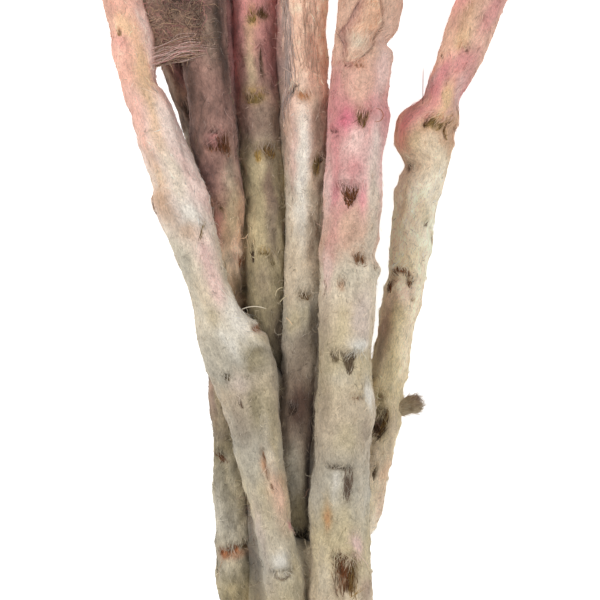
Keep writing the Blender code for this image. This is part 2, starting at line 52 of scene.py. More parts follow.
FOOTPRINT_MIDDLE = np.array([3.1, 63.75, 0.0])
VIEW_HEIGHT = 14.0
VIEW_DISTANCE = 900.0


def placed(points):
    """Metres from the part's origin, of points in layout millimetres."""
    return (np.asarray(points, float) - FOOTPRINT_MIDDLE) * MM


def add_lamp(name, place, size, power, colour):
    lamp = bpy.data.objects.new(name, bpy.data.lights.new(name, "AREA"))
    lamp.data.shape = "DISK"
    lamp.data.size = size
    lamp.data.energy = power
    lamp.data.color = colour
    lamp.location = Vector(place)
    aim = Vector(placed((0.0, 0.0, 0.0))) - lamp.location
    lamp.rotation_euler = aim.to_track_quat("-Z", "Y").to_euler()
    bpy.context.scene.collection.objects.link(lamp)


def table_material():
    """Matt white, with a slow change of tone of about two per cent, and a glow that is stronger to the
    camera."""
    mat = bpy.data.materials.new("table_white")
    mat.use_nodes = True
    nodes, links = mat.node_tree.nodes, mat.node_tree.links
    bsdf = nodes["Principled BSDF"]
    coords = nodes.new("ShaderNodeTexCoord")
    noise = nodes.new("ShaderNodeTexNoise")
    noise.inputs["Scale"].default_value = 3.0
    ramp = nodes.new("ShaderNodeValToRGB")
    ramp.color_ramp.elements[0].color = (0.90, 0.90, 0.90, 1.0)
    ramp.color_ramp.elements[1].color = (0.93, 0.93, 0.93, 1.0)
    links.new(coords.outputs["Object"], noise.inputs["Vector"])
    links.new(noise.outputs["Fac"], ramp.inputs["Fac"])
    links.new(ramp.outputs["Color"], bsdf.inputs["Base Color"])
    bsdf.inputs["Roughness"].default_value = 0.9
    bsdf.inputs["Emission Color"].default_value = (1.0, 1.0, 1.0, 1.0)
    path = nodes.new("ShaderNodeLightPath")
    glow = nodes.new("ShaderNodeMath")
    glow.operation = "MULTIPLY_ADD"
    glow.inputs[1].default_value = 0.45
    glow.inputs[2].default_value = 0.34
    links.new(path.outputs["Is Camera Ray"], glow.inputs[0])
    links.new(glow.outputs[0], bsdf.inputs["Emission Strength"])
    return mat


table_mesh = bpy.data.meshes.new("table")
table_mesh.from_pydata([(-3, -3, 0), (3, -3, 0), (3, 3, 0), (-3, 3, 0)], [], [(0, 1, 2, 3)])
table = bpy.data.objects.new("table", table_mesh)
table.data.materials.append(table_material())
bpy.context.scene.collection.objects.link(table)

world = bpy.data.worlds.new("pale_room")
world.use_nodes = True
world.node_tree.nodes["Background"].inputs["Color"].default_value = (1.0, 1.0, 1.0, 1.0)
world.node_tree.nodes["Background"].inputs["Strength"].default_value = 0.5
bpy.context.scene.world = world
add_lamp("lamp_left", (-0.75, 0.45, 1.0), 0.4, 8.0, (1.0, 0.985, 0.96))
add_lamp("lamp_right", (0.9, -0.3, 0.9), 0.7, 3.6, (0.97, 0.985, 1.0))

camera = bpy.data.objects.new("camera", bpy.data.cameras.new("camera"))
camera.data.sensor_width = 36.0
camera.data.lens = 300.0
camera.data.clip_end = 100.0
camera.location = Vector(placed((0.0, 0.0, VIEW_HEIGHT + VIEW_DISTANCE)))
bpy.context.scene.collection.objects.link(camera)
bpy.context.scene.camera = camera
bpy.context.scene.view_settings.view_transform = "Standard"

# Stems. Seven dry woody stems, each in a thick sleeve of the wool that grew with it, dipped head down in
# dye: rose and salmon above, natural cream and grey olive at the foot. They lie across each other, held by
# the twine alone. Each sleeve swells below every leaf base and is nicked where the leaf was pulled off.
BUNDLE_FLOOR = 2.0
TIE_Y = -66.0
GAP = 0.3
HEIGHT_STEP = 2.0
LEAN_ALLOWANCE = 1.03
NECK_BEND = 22.0
RISE_POWER = 1.6
LAYING_ORDER = ("stem_2", "stem_4", "stem_7", "stem_3", "stem_5", "stem_1", "stem_6")
# From foot to neck as (y, x, radius); the stems that it lies over; the rise of its head in degrees; its
# neck's height
STEMS = {
    "stem_1": {
        "spine": [
            (-86, -5.2, 3.2), (-66, -4.4, 3.2), (-54, -2.6, 3.2), (-47, -3.3, 3.3), (-41, -4.9, 3.4),
            (-36, -5.5, 3.3), (-32, -6.5, 3.8), (-27, -7.5, 4.2), (-22, -8.5, 4.1), (-14, -11.0, 4.5),
            (-8.5, -12.9, 5.0), (-5.5, -14.4, 4.6), (-2.5, -15.0, 3.9), (0.5, -15.8, 3.5), (6, -17.4, 3.9),
            (12, -19.1, 4.2), (17.5, -21.2, 4.9), (19.2, -21.8, 4.8), (21, -21.7, 4.0), (29, -25.0, 4.0),
            (35, -26.8, 3.7), (36.4, -27.4, 3.7), (37.6, -28.4, 3.1), (39.2, -28.8, 3.3), (44, -29.6, 4.0),
            (48.6, -30.4, 3.5), (54, -32.0, 3.6), (80, -39.5, 3.5), (110, -51.5, 3.2), (133, -64, 2.6),
        ],
        "over": ("stem_2", "stem_3", "stem_4", "stem_5"), "rise": 28.0, "neck": 15.33,
    },
    "stem_2": {
        "spine": [
            (-89, 2.0, 3.0), (-66, 1.9, 3.0), (-54, 2.2, 3.0), (-36, 2.6, 3.2), (-18, -0.5, 3.5),
            (0, -6.6, 3.7), (19, -13.1, 3.8), (29, -16.2, 3.9), (42, -21.0, 4.0), (54, -24.3, 4.1),
            (80, -30.0, 3.7), (110, -35.5, 3.4), (145, -40.5, 3.1), (178, -45.0, 2.6),
        ],
        "over": (), "rise": 16.0, "neck": 17.45,
    },
    "stem_3": {
        "spine": [
            (-84, -12.2, 3.1), (-66, -11.2, 3.1), (-54, -11.6, 3.0), (-44, -12.0, 3.1), (-34, -12.3, 3.5),
            (-28, -12.0, 3.3), (-25, -12.1, 3.5), (-13, -12.8, 3.7), (5, -13.9, 3.8), (18, -14.2, 3.8),
            (26, -15.2, 3.8), (29, -15.7, 4.3), (36, -16.0, 3.8), (43, -16.9, 3.9), (54, -17.5, 4.0),
            (80, -19.5, 3.6), (110, -22.5, 3.2), (140, -25.0, 2.6),
        ],
        "over": ("stem_2",), "rise": 8.0, "neck": 11.5,
    },
    "stem_4": {
        "spine": [
            (-90, -4.9, 3.1), (-66, -4.6, 3.1), (-54, -4.6, 3.3), (-36, -4.9, 3.4), (-20, -5.0, 3.5),
            (-5, -5.5, 3.6), (7, -5.9, 3.8), (18, -6.2, 3.8), (27, -7.2, 3.9), (36, -7.7, 4.2),
            (40, -7.8, 4.0), (54, -8.3, 4.4), (90, -8.3, 3.8), (130, -7.5, 3.4), (165, -6.5, 3.1),
            (198, -6.0, 2.6),
        ],
        "over": ("stem_2",), "rise": 32.0, "neck": 13.7,
    },
    "stem_5": {
        "spine": [
            (-87, -0.4, 3.2), (-66, -0.6, 3.2), (-54, -0.8, 3.2), (-41, -1.3, 3.2), (-30, -1.2, 3.5),
            (-18, -0.2, 3.6), (-9, 0.5, 3.4), (0, 0.7, 3.5), (2, 0.7, 3.2), (18, 0.9, 3.5), (27, 1.2, 3.8),
            (36, 1.2, 4.0), (39, 1.1, 3.7), (54, 0.8, 4.2), (80, 2.0, 3.6), (105, 4.0, 3.2),
            (130, 6.0, 2.6),
        ],
        "over": ("stem_2", "stem_4"), "rise": 10.0, "neck": 11.5,
    },
    "stem_6": {
        "spine": [
            (-88, 6.4, 4.2), (-66, 5.9, 4.3), (-57, 6.8, 5.4), (-52, 7.1, 5.6), (-46.5, 7.2, 5.1),
            (-36, 7.0, 5.2), (-28, 7.4, 4.7), (-20, 8.0, 5.2), (-14, 8.0, 4.8), (-8.5, 8.0, 4.5),
            (0, 8.5, 5.1), (3.2, 8.5, 4.9), (5.4, 8.7, 5.2), (8, 8.2, 4.7), (11, 9.0, 5.2), (15, 9.3, 5.1),
            (16.5, 9.6, 5.4), (25, 9.6, 4.9), (29, 10.0, 5.1), (33.8, 10.7, 5.5), (36.4, 10.4, 5.0),
            (39.5, 10.9, 5.2), (45.2, 11.4, 5.3), (46.4, 10.6, 4.5), (49.3, 12.0, 5.5), (53.6, 12.8, 5.7),
            (62, 13.2, 4.8), (90, 18, 4.2), (125, 25, 3.6), (163, 31, 2.6),
        ],
        "over": ("stem_2", "stem_5", "stem_7"), "rise": 34.0, "neck": 13.44,
    },
    "stem_7": {
        "spine": [
            (-85, 10.4, 3.4), (-66, 9.6, 3.4), (-54, 9.9, 3.2), (-47, 9.2, 3.1), (-42, 10.1, 3.0),
            (-38.5, 11.5, 3.0), (-31, 12.6, 3.1), (-23, 14.6, 3.2), (-17, 15.0, 3.2), (-11, 16.4, 3.4),
            (-5.5, 17.1, 3.2), (2, 18.9, 3.4), (3.2, 19.5, 3.2), (7.6, 19.6, 3.7), (12, 20.2, 3.5),
            (13.3, 20.1, 3.2), (16.2, 20.9, 3.6), (19, 21.3, 4.0), (22, 22.1, 4.0), (23.4, 22.8, 3.5),
            (24.8, 22.9, 3.8), (27.7, 22.4, 5.2), (29.2, 22.4, 5.4), (32, 22.8, 5.0), (33.8, 24.5, 4.1),
            (35, 25.5, 3.2), (38, 26.0, 2.9), (43, 28.3, 3.8), (47, 30.0, 4.1), (54, 32.8, 4.3),
            (80, 43.5, 4), (110, 57, 3.4), (135, 70, 2.6),
        ],
        "over": (), "rise": 24.0, "neck": 14.79,
    },
}


def curve_through(keys, at):
    """Smooth curve through (place, value) keys: cubic pieces, each with the mean slope of its key's
    neighbours."""
    place = np.array([k[0] for k in keys], float)
    value = np.array([k[1] for k in keys], float)
    slope = np.gradient(value, place)
    at = np.asarray(at, float)
    i = np.clip(np.searchsorted(place, at) - 1, 0, len(place) - 2)
    span = place[i + 1] - place[i]
    t = np.clip((at - place[i]) / span, 0.0, 1.0)
    rise = value[i + 1] - value[i]
    return (
        value[i]
        + rise * t * t * (3 - 2 * t)
        + span * t * (1 - t) * (slope[i] * (1 - t) - slope[i + 1] * t)
    )


def across(name, y):
    return curve_through([(k[0], k[1]) for k in STEMS[name]["spine"]], y)


def radius(name, y):
    return curve_through([(k[0], k[2]) for k in STEMS[name]["spine"]], y)


def foot_y(name):
    return STEMS[name]["spine"][0][0]


def neck_y(name):
    return STEMS[name]["spine"][-1][0]


def height_over(name, y, heights):
    """Lowest height of a stem's axis that clears each stem it lies over."""
    need = np.full(len(y), -np.inf)
    for other in STEMS[name]["over"]:
        reach = (radius(name, y) + radius(other, y) + GAP) * LEAN_ALLOWANCE
        apart = across(name, y) - across(other, y)
        lift = np.sqrt(np.maximum(reach**2 - apart**2, 0.0))
        there = (np.abs(apart) < reach) & (y >= foot_y(other)) & (y <= neck_y(other))
        need = np.where(there, np.maximum(need, np.interp(y, *heights[other]) + lift), need)
    return need


def lay_stem(name, heights):
    """Heights of a stem's axis: a rising line, a hump smoothed by running means where it crosses, a bend at
    the neck."""
    y = np.arange(foot_y(name), neck_y(name) + HEIGHT_STEP / 2, HEIGHT_STEP)
    y[-1] = neck_y(name)
    need = height_over(name, y, heights)
    start = max(BUNDLE_FLOOR + float(radius(name, TIE_Y)), float(np.interp(TIE_Y, y, need)))
    run = neck_y(name) - TIE_Y
    slope = math.tan(math.radians(STEMS[name]["rise"]))
    share = RISE_POWER * NECK_BEND / 2 / run
    end = (STEMS[name]["neck"] - slope * NECK_BEND / 2 - start * share) / (1 - share)
    bend = slope - RISE_POWER * (end - start) / run
    t = np.clip((y - TIE_Y) / run, 0.0, 1.0)
    into_bend = np.clip(y - (neck_y(name) - NECK_BEND), 0.0, None)
    line = start + (end - start) * t**RISE_POWER + bend * into_bend**2 / (2 * NECK_BEND)
    missing = np.maximum(need - line, 0.0)
    hump = missing
    for _ in range(40):
        hump = np.maximum(np.convolve(np.pad(hump, 3, mode="edge"), np.ones(7) / 7, mode="valid"), missing)
    return y, line + hump


HEIGHTS = {}
for stem_name in LAYING_ORDER:
    HEIGHTS[stem_name] = lay_stem(stem_name, HEIGHTS)


def unit(vectors):
    return vectors / np.maximum(np.linalg.norm(vectors, axis=-1, keepdims=True), 1e-9)


def straight_between(name, column, y):
    """Value of the spine's keys in the photographed stretch: straight from key to key, with each corner
    rounded over a millimetre. Beyond it, the smooth curve."""
    spine = STEMS[name]["spine"]
    places, values = [k[0] for k in spine], [k[column] for k in spine]
    y = np.asarray(y, float)
    even = sum(np.interp(y + step, places, values) for step in (-0.7, -0.35, 0.0, 0.35, 0.7)) / 5.0
    return np.where(np.abs(y) < 53.3, even, curve_through([(k[0], k[column]) for k in spine], y))


def girth(name, y):
    return straight_between(name, 2, y)


def middle_line(name, y):
    return np.stack(
        [straight_between(name, 1, y), np.asarray(y, float), np.interp(y, *HEIGHTS[name])], axis=-1
    )


def stem_frame(name, y):
    """Middle point, direction along, sideways and upward across the stem, at each y. The direction is taken
    over 8 mm, so that the rings of wool stay level where the stem's outline steps."""
    y = np.asarray(y, float)
    centre = middle_line(name, y)
    along = unit(middle_line(name, y + 4.0) - middle_line(name, y - 4.0))
    along = np.where(np.abs(along).sum(-1, keepdims=True) < 0.5, np.array([0.0, 1.0, 0.0]), along)
    side = unit(np.cross(along, np.array([0.0, 0.0, 1.0])))
    return centre, along, side, np.cross(side, along)


def smooth_noise(points, seed):
    """Noise from -1 to 1: random values at whole-number places, blended between them by 3t^2 - 2t^3."""
    cell = np.floor(points)
    t = points - cell
    t = t * t * (3.0 - 2.0 * t)
    cell = cell.astype(np.int64)
    total = np.zeros(points.shape[:-1])
    for corner in range(8):
        step = np.array([corner & 1, (corner >> 1) & 1, (corner >> 2) & 1])
        place = (cell + step).astype(np.uint32)
        mix = place[..., 0] * np.uint32(73856093) ^ place[..., 1] * np.uint32(19349663)
        mix = mix ^ place[..., 2] * np.uint32(83492791) ^ np.uint32(seed * 2246822519 % 4294967296)
        mix = (mix ^ (mix >> np.uint32(15))) * np.uint32(739982445)
        mix = (mix ^ (mix >> np.uint32(12))) * np.uint32(695872825)
        mix = mix ^ (mix >> np.uint32(15))
        weight = np.prod(np.where(step == 1, t, 1.0 - t), axis=-1)
        total += weight * (mix.astype(float) / 2147483648.0 - 1.0)
    return total


def linear(r, g, b):
    """A colour as seen, 0 to 255, as the light that a shader takes."""
    c = np.array([r, g, b], float) / 255.0
    return np.where(c <= 0.04045, c / 12.92, ((c + 0.055) / 1.055) ** 2.4)


DYES = {
    "white": linear(240, 234, 222), "cream": linear(226, 213, 190), "straw": linear(206, 190, 154),
    "sand": linear(212, 194, 168), "khaki": linear(190, 174, 138), "grey": linear(188, 180, 163),
    "silver": linear(206, 186, 178), "olive": linear(162, 149, 118), "moss": linear(104, 88, 54),
    "taupe": linear(150, 132, 114), "cocoa": linear(108, 84, 68), "shell": linear(242, 222, 210),
    "blush": linear(243, 208, 198), "salmon": linear(241, 186, 166), "flesh": linear(228, 188, 164),
    "peach": linear(234, 198, 156), "rose": linear(220, 150, 150), "hot": linear(216, 98, 130),
    "dusty": linear(192, 132, 128), "maroon": linear(128, 80, 78), "plum": linear(122, 88, 84),
    "mauve": linear(160, 124, 112), "tan": linear(198, 162, 132), "umber": linear(86, 64, 54),
    "soot": linear(62, 48, 38), "bark": linear(96, 64, 38), "gold": linear(184, 150, 84),
    "rust": linear(156, 92, 54), "orange": linear(206, 142, 92), "shade": linear(98, 84, 70),
}
# The dye along each stem as (y, dye), and its streaks and patches as (y, offset across, half length, half
# width, dye, strength), all in millimetres. The dye named shade, and the dark soot, umber and cocoa streaks
# along the stems at the back beside the deep gaps between stems, are painted shade; the rest is dye.
DYE_ALONG = {
    "stem_1": [
        (-90, "grey"), (-56, "straw"), (-48, "grey"), (-36, "straw"), (-27, "grey"), (-18, "sand"),
        (-12, "grey"), (-4, "cream"), (8, "cream"), (16, "shell"), (24, "shell"), (32, "blush"),
        (40, "salmon"), (70, "salmon"), (100, "rose"), (133, "rose"),
    ],
    "stem_2": [
        (-90, "olive"), (-10, "olive"), (8, "mauve"), (22, "taupe"), (34, "cocoa"), (54, "cocoa"),
        (70, "mauve"), (110, "rose"), (178, "rose"),
    ],
    "stem_3": [
        (-84, "olive"), (-52, "olive"), (-40, "grey"), (-26, "olive"), (-10, "taupe"), (0, "tan"),
        (8, "sand"), (14, "tan"), (22, "mauve"), (54, "mauve"), (90, "dusty"), (140, "rose"),
    ],
    "stem_4": [
        (-90, "olive"), (-30, "shade"), (-14, "taupe"), (0, "olive"), (10, "khaki"), (22, "khaki"),
        (30, "taupe"), (40, "mauve"), (54, "dusty"), (90, "dusty"), (198, "rose"),
    ],
    "stem_5": [
        (-87, "grey"), (-50, "straw"), (-42, "olive"), (-26, "taupe"), (-14, "taupe"), (-4, "grey"),
        (6, "sand"), (18, "sand"), (26, "flesh"), (36, "flesh"), (54, "flesh"), (80, "rose"), (130, "rose"),
    ],
    "stem_6": [
        (-88, "grey"), (-56, "sand"), (-44, "straw"), (-34, "grey"), (-22, "sand"), (-12, "straw"),
        (-2, "sand"), (6, "cream"), (12, "flesh"), (20, "blush"), (34, "rose"), (44, "flesh"),
        (54, "flesh"), (80, "rose"), (163, "rose"),
    ],
    "stem_7": [
        (-85, "grey"), (-46, "cream"), (-30, "sand"), (-20, "straw"), (0, "sand"), (12, "cream"),
        (20, "cream"), (25, "sand"), (29, "tan"), (32, "flesh"), (36, "rose"), (43, "flesh"), (50, "flesh"),
        (58, "rose"), (135, "rose"),
    ],
}
DYE_PATCHES = {
    "stem_1": [
        (51.8, -3.8, 2.5, 0.7, "tan", 0.5), (49.3, -0.7, 2.3, 1.6, "peach", 0.7),
        (46.4, -2.2, 1.3, 0.9, "rose", 0.5), (48.6, 2.6, 4.7, 1.1, "blush", 0.8),
        (42.8, -2.8, 4.7, 1.3, "salmon", 0.6), (41.4, 0.9, 6.1, 1.4, "peach", 0.75),
        (43.2, 3, 2.9, 0.7, "blush", 0.7), (36, -3.4, 3.6, 1.1, "salmon", 0.6),
        (31, -3.7, 3.6, 1.1, "salmon", 0.7), (34.6, 0.2, 4, 1.3, "peach", 0.7),
        (32.8, 1.9, 3.2, 1.4, "shell", 0.7), (28.8, -0.6, 4.3, 1.1, "peach", 0.5),
        (28.8, 2.6, 4.7, 1.3, "shell", 0.8), (26.6, -3.2, 3.2, 1.1, "tan", 0.45),
        (23.4, 2.2, 4, 0.9, "blush", 0.7), (22, -3.2, 2.9, 1.1, "peach", 0.6),
        (21.6, -0.1, 4.3, 1.4, "cream", 0.6), (18, -3.8, 2.5, 1.6, "tan", 0.85),
        (15.1, -3.5, 2.2, 1.4, "tan", 0.6), (15.8, 0.7, 2.5, 1.6, "white", 0.8),
        (12.1, -0.7, 1.3, 1.6, "tan", 0.6), (18.7, 4.3, 3.6, 0.9, "blush", 0.6),
        (8.1, 1.2, 3.2, 1.6, "blush", 1), (2.7, 1.2, 4, 1.4, "blush", 0.9),
        (6.8, -2.9, 3.6, 1.3, "grey", 0.8), (0, -3, 4.3, 1.1, "grey", 0.6),
        (1.4, -1.1, 3.2, 1.3, "sand", 0.6), (-3.2, -0.8, 1.6, 0.9, "khaki", 0.5),
        (-3.6, 3.3, 4.3, 1.6, "white", 0.8), (-8.3, 0.8, 2.9, 1.3, "white", 0.7),
        (-7.6, -3.7, 2.9, 1.4, "grey", 0.5), (-15.8, 0, 1.8, 1.6, "shell", 0.6),
        (-5.9, 6.3, 0.9, 1.4, "tan", 0.8), (-7.9, 5.3, 1.3, 1.1, "straw", 0.6),
        (-8.1, 7.7, 4.3, 0.9, "mauve", 0.8), (-15.3, 5.5, 4.7, 0.9, "taupe", 0.75),
        (-11.5, 3.2, 2.2, 1.4, "olive", 0.8), (-13, 2.2, 0.7, 0.5, "moss", 0.6),
        (-10.4, 4, 0.7, 0.5, "moss", 0.5), (-22.5, -2.4, 5, 1.1, "taupe", 0.6),
        (-19.8, 1.1, 4, 1.3, "olive", 0.9), (-23.4, 3, 7.2, 1.1, "straw", 0.8),
        (-30.6, -1.9, 6.1, 1.3, "grey", 0.7), (-26.1, 1.9, 4.7, 0.9, "cream", 0.6),
        (-29.2, 0.6, 1.6, 0.4, "orange", 0.6), (-35.5, 1.7, 4.7, 1.4, "flesh", 0.9),
        (-32.8, 3.2, 2.2, 0.9, "tan", 0.6), (-40.7, 3.3, 0.7, 0.4, "rose", 0.8),
        (-41.4, -2.5, 5.4, 1.1, "silver", 0.5), (-44.1, -0.2, 4.3, 1.6, "cream", 0.7),
        (-47.2, -0.1, 1.8, 1.1, "white", 0.9), (-48.6, 2.5, 3.6, 0.9, "straw", 0.7),
        (-51.8, -2.2, 2.5, 1.3, "sand", 0.5),
    ],
    "stem_2": [
        (40.3, -0.9, 2.9, 1.4, "plum", 0.9), (41, 2.3, 2.2, 1.1, "olive", 0.5),
        (38.9, -3.2, 2.2, 0.7, "taupe", 0.6), (33.8, -1.8, 2.5, 1.1, "soot", 0.7),
        (32.8, -3.7, 4.3, 0.7, "shade", 0.7), (29.2, -3.9, 0.7, 0.7, "grey", 0.6),
        (27, -3.1, 4.3, 0.9, "umber", 0.5), (21.6, -3.2, 3.2, 1.1, "mauve", 0.6),
    ],
    "stem_3": [
        (49.3, 2.4, 8.3, 1.4, "soot", 0.9), (41, 2.9, 5, 0.9, "umber", 0.95),
        (38, -3.5, 7, 1.4, "umber", 0.85), (26, -3.5, 7, 1.1, "umber", 0.8),
        (17, -3.3, 5, 0.9, "plum", 0.7), (46.8, 0.5, 5.4, 1.3, "taupe", 0.6),
        (36.7, -0.5, 4.7, 1.4, "mauve", 0.8), (35.3, 1.9, 4, 1.1, "mauve", 0.5),
        (35.1, -1.5, 4.3, 0.7, "umber", 0.5), (29.5, 0.2, 1.4, 1.1, "dusty", 0.8),
        (23, -1.7, 2.9, 1.3, "plum", 0.6), (22, 2.1, 4.7, 0.9, "sand", 0.6),
        (15.3, 1.9, 5.4, 0.9, "khaki", 0.6), (13.5, -0.8, 3.6, 0.9, "dusty", 0.6),
        (16.6, 0.1, 0.7, 0.5, "moss", 0.5), (9, 2.5, 2.9, 1.1, "flesh", 0.6),
        (1.6, 2.4, 1.8, 1.1, "moss", 0.7), (-2.2, 3, 2.2, 0.9, "tan", 0.6),
        (-18, -3.3, 4.7, 0.9, "mauve", 0.55), (-17.1, -1.5, 4.3, 0.7, "olive", 0.5),
        (-22.5, -1.3, 3.6, 0.9, "taupe", 0.5), (-36, -2.9, 5.4, 0.7, "grey", 0.6),
        (-36, 1.4, 6.1, 0.9, "khaki", 0.5), (-36, 2.7, 5.4, 0.5, "cocoa", 0.8),
        (-45.2, 0.4, 0.8, 2.6, "rust", 0.5), (-46.4, 2.9, 2.9, 0.7, "soot", 0.8),
        (-52.2, -0.2, 1.8, 1.4, "khaki", 0.5),
    ],
    "stem_4": [
        (44, -3.6, 10, 1.3, "dusty", 1), (48.6, -0.9, 4.3, 0.9, "tan", 0.7),
        (41.4, -1.2, 4.3, 0.9, "khaki", 0.6), (42.8, 0.9, 3.6, 0.5, "cocoa", 0.7),
        (46.8, 2.6, 6.1, 1.3, "maroon", 0.7), (40.5, 3, 3.6, 0.9, "maroon", 0.6),
        (51.1, -0.4, 1.4, 0.9, "gold", 0.7), (51.5, 1.6, 1.4, 1.1, "moss", 0.6),
        (36.4, -0.6, 1.3, 1.6, "gold", 0.75), (31.7, -2.3, 3.2, 1.6, "mauve", 0.6),
        (26.3, 1.4, 1.4, 1.4, "moss", 0.5), (25.7, -0.3, 1.3, 0.7, "gold", 0.6),
        (18, -2.6, 7.2, 1.3, "khaki", 0.8), (19.8, 1, 4.7, 1.1, "plum", 0.7),
        (12.6, 1.2, 5.4, 1.1, "taupe", 0.8), (23.4, 0, 1.6, 0.7, "straw", 0.5),
        (8.3, -0.5, 0.5, 1.1, "gold", 0.6), (6.8, 0.7, 1.3, 0.5, "moss", 0.5),
        (2.7, -0.7, 3.6, 1.3, "taupe", 0.5), (-3.6, -1.3, 2.9, 1.4, "olive", 0.6),
        (-5.4, 1.9, 3.6, 0.9, "shade", 0.7),
    ],
    "stem_5": [
        (50, -3.6, 4.7, 0.7, "silver", 0.7), (42.5, -3.4, 3.6, 0.7, "silver", 0.9),
        (36, -4.1, 2.9, 0.5, "silver", 0.7), (46.8, -0.9, 8.3, 1.6, "flesh", 0.8),
        (46.8, 1.4, 7.2, 0.9, "salmon", 0.55), (42.8, 3.3, 2.9, 0.7, "flesh", 0.7),
        (48.6, 3.1, 6.1, 0.7, "flesh", 0.5), (36.4, -0.5, 1.3, 1.3, "orange", 0.8),
        (25.2, -0.6, 10.8, 1.3, "white", 0.85), (27, -2.3, 7.2, 0.7, "blush", 0.6),
        (18, -3.4, 10.8, 0.7, "grey", 0.6), (32.4, 2, 6.1, 1.1, "taupe", 0.7),
        (23.4, 2.7, 7.9, 0.9, "taupe", 0.8), (24.1, 1.4, 2.2, 0.7, "khaki", 0.6),
        (15.3, -0.9, 7.2, 1.1, "white", 0.6), (10.8, 1.4, 7.9, 0.9, "taupe", 0.5),
        (6.3, -1.5, 5.4, 1.1, "sand", 0.7), (0, -2.1, 2.2, 1.3, "sand", 0.6),
        (-4, -1.7, 2.5, 1.4, "khaki", 0.7), (-3.2, 0.5, 2.2, 0.7, "straw", 0.5),
        (-5.4, 1.9, 5.4, 0.9, "shade", 0.7), (-10.8, -0.4, 4, 2.2, "taupe", 0.7),
        (-19.4, 0, 4.7, 2.2, "umber", 0.95), (-22.5, 2.7, 5.4, 1.1, "umber", 0.8),
        (-32, -0.2, 5.4, 1.4, "grey", 0.85), (-38.7, 0.9, 2.5, 1.1, "olive", 0.6),
        (-32.4, 3, 7.9, 1.5, "soot", 0.95), (-42.8, 1.6, 1.6, 1.8, "soot", 0.9),
        (-49.5, 2.1, 4.3, 1.4, "straw", 0.7),
    ],
    "stem_6": [
        (50.4, 3, 4.7, 1.6, "flesh", 0.7), (42.5, -1.9, 0.7, 1.4, "rose", 0.5),
        (42.1, -0.4, 0.7, 1.1, "orange", 0.5), (38.7, -4.2, 4.7, 0.9, "rose", 0.8),
        (38.7, 0.4, 3.6, 2, "flesh", 0.6), (41.4, 3.9, 5.4, 1.1, "blush", 0.8),
        (35.1, -3.3, 2.5, 1.1, "rose", 0.5), (32.2, -2, 2.3, 1.8, "hot", 0.6),
        (35.1, 2.1, 1.3, 1.6, "rose", 0.5), (33.3, -4.5, 2.9, 0.7, "dusty", 0.5),
        (28.8, -3.3, 2.9, 0.9, "rose", 0.7), (28.4, 0.2, 2.5, 1.4, "blush", 0.8),
        (27, 3.6, 4.7, 1.1, "shell", 0.8), (23.4, -2.9, 4.7, 0.9, "rose", 0.7),
        (23.4, -0.2, 2.2, 1.4, "rose", 0.7), (18.7, -3.7, 2.2, 0.9, "hot", 0.5),
        (18, 1.8, 2.9, 0.9, "hot", 0.55), (17.3, -0.7, 2.2, 1.4, "rose", 0.6),
        (18.9, 3.5, 4.7, 0.9, "cream", 0.7), (15.5, -1.9, 1.4, 1.4, "rose", 0.5),
        (12.6, -0.1, 4, 2, "flesh", 0.9), (10.8, -2.8, 4.7, 1.3, "rose", 0.45),
        (11.7, 3.9, 4, 1.1, "cream", 0.7), (5.8, -3.6, 3.2, 0.7, "blush", 0.8),
        (5, 0.3, 2.5, 1.8, "cream", 0.8), (-3.6, -3.6, 6.1, 1.1, "taupe", 0.5),
        (-4, -0.7, 3.6, 1.1, "straw", 0.6), (-3.2, 2.7, 4.7, 1.6, "shell", 0.7),
        (-7.9, 2, 1.3, 1.4, "white", 1), (-9.4, 0.1, 0.9, 1.8, "sand", 0.5),
        (-14, -0.5, 1.8, 2.2, "cream", 0.7), (-17.1, -3.5, 5.4, 1.1, "taupe", 0.5),
        (-19.8, 0.1, 4.3, 1.6, "sand", 0.7), (-17.3, 4.4, 2.5, 0.7, "white", 0.8),
        (-23.4, 3.8, 1.8, 0.9, "taupe", 0.6), (-25.2, 0.5, 2.9, 1.8, "straw", 0.6),
        (-32.8, -0.6, 1.6, 0.9, "white", 0.7), (-38.7, -2, 2.9, 0.9, "gold", 0.5),
        (-39.2, -1.9, 2.2, 0.4, "orange", 0.6), (-39.6, 1.2, 4.3, 1.4, "straw", 0.6),
        (-36, 3.8, 5.4, 0.9, "cream", 0.5), (-43.6, 3.1, 1.6, 0.9, "blush", 0.9),
        (-49.5, -3.2, 4, 1.3, "cream", 0.6), (-46.8, -5.6, 5.4, 0.7, "taupe", 0.7),
        (-51.8, 4.7, 2.2, 1.1, "mauve", 0.5),
    ],
    "stem_7": [
        (51.5, -1.8, 3.2, 1.6, "tan", 0.8), (51.1, 2.7, 4, 1.3, "rose", 0.7),
        (47.2, -0.9, 2.2, 1.4, "peach", 0.7), (43.2, -2.1, 1.6, 1.1, "flesh", 0.7),
        (42.8, 0.9, 2.5, 2.2, "rose", 0.8), (39.6, -1.9, 2.9, 1.1, "rose", 0.9),
        (36, 0.6, 2.9, 0.9, "peach", 0.95), (36.9, 2.3, 2.9, 0.7, "blush", 0.7),
        (38.2, -2.7, 2.5, 0.4, "silver", 0.6), (31.7, 1.5, 1.3, 2.2, "gold", 0.5),
        (31.7, -3.6, 2.2, 1.4, "rose", 0.7), (28.4, -1.5, 2.2, 1.1, "khaki", 0.6),
        (28.8, -3.9, 2.2, 1.1, "salmon", 0.6), (27.4, 1.3, 2.5, 1.8, "sand", 0.7),
        (28.8, 4, 2.9, 0.9, "tan", 0.6), (23.8, -2.7, 1.1, 0.7, "umber", 0.5),
        (19.8, 1.5, 3.6, 1.6, "cream", 0.5), (18, -2.3, 4.7, 0.7, "khaki", 0.5),
        (15.8, 1.5, 2.2, 1.3, "khaki", 0.5), (12.6, 0, 4.3, 1.3, "sand", 0.6),
        (7.9, 0.2, 2.5, 1.8, "straw", 0.6), (0.7, 0.1, 1.4, 1.4, "blush", 0.5),
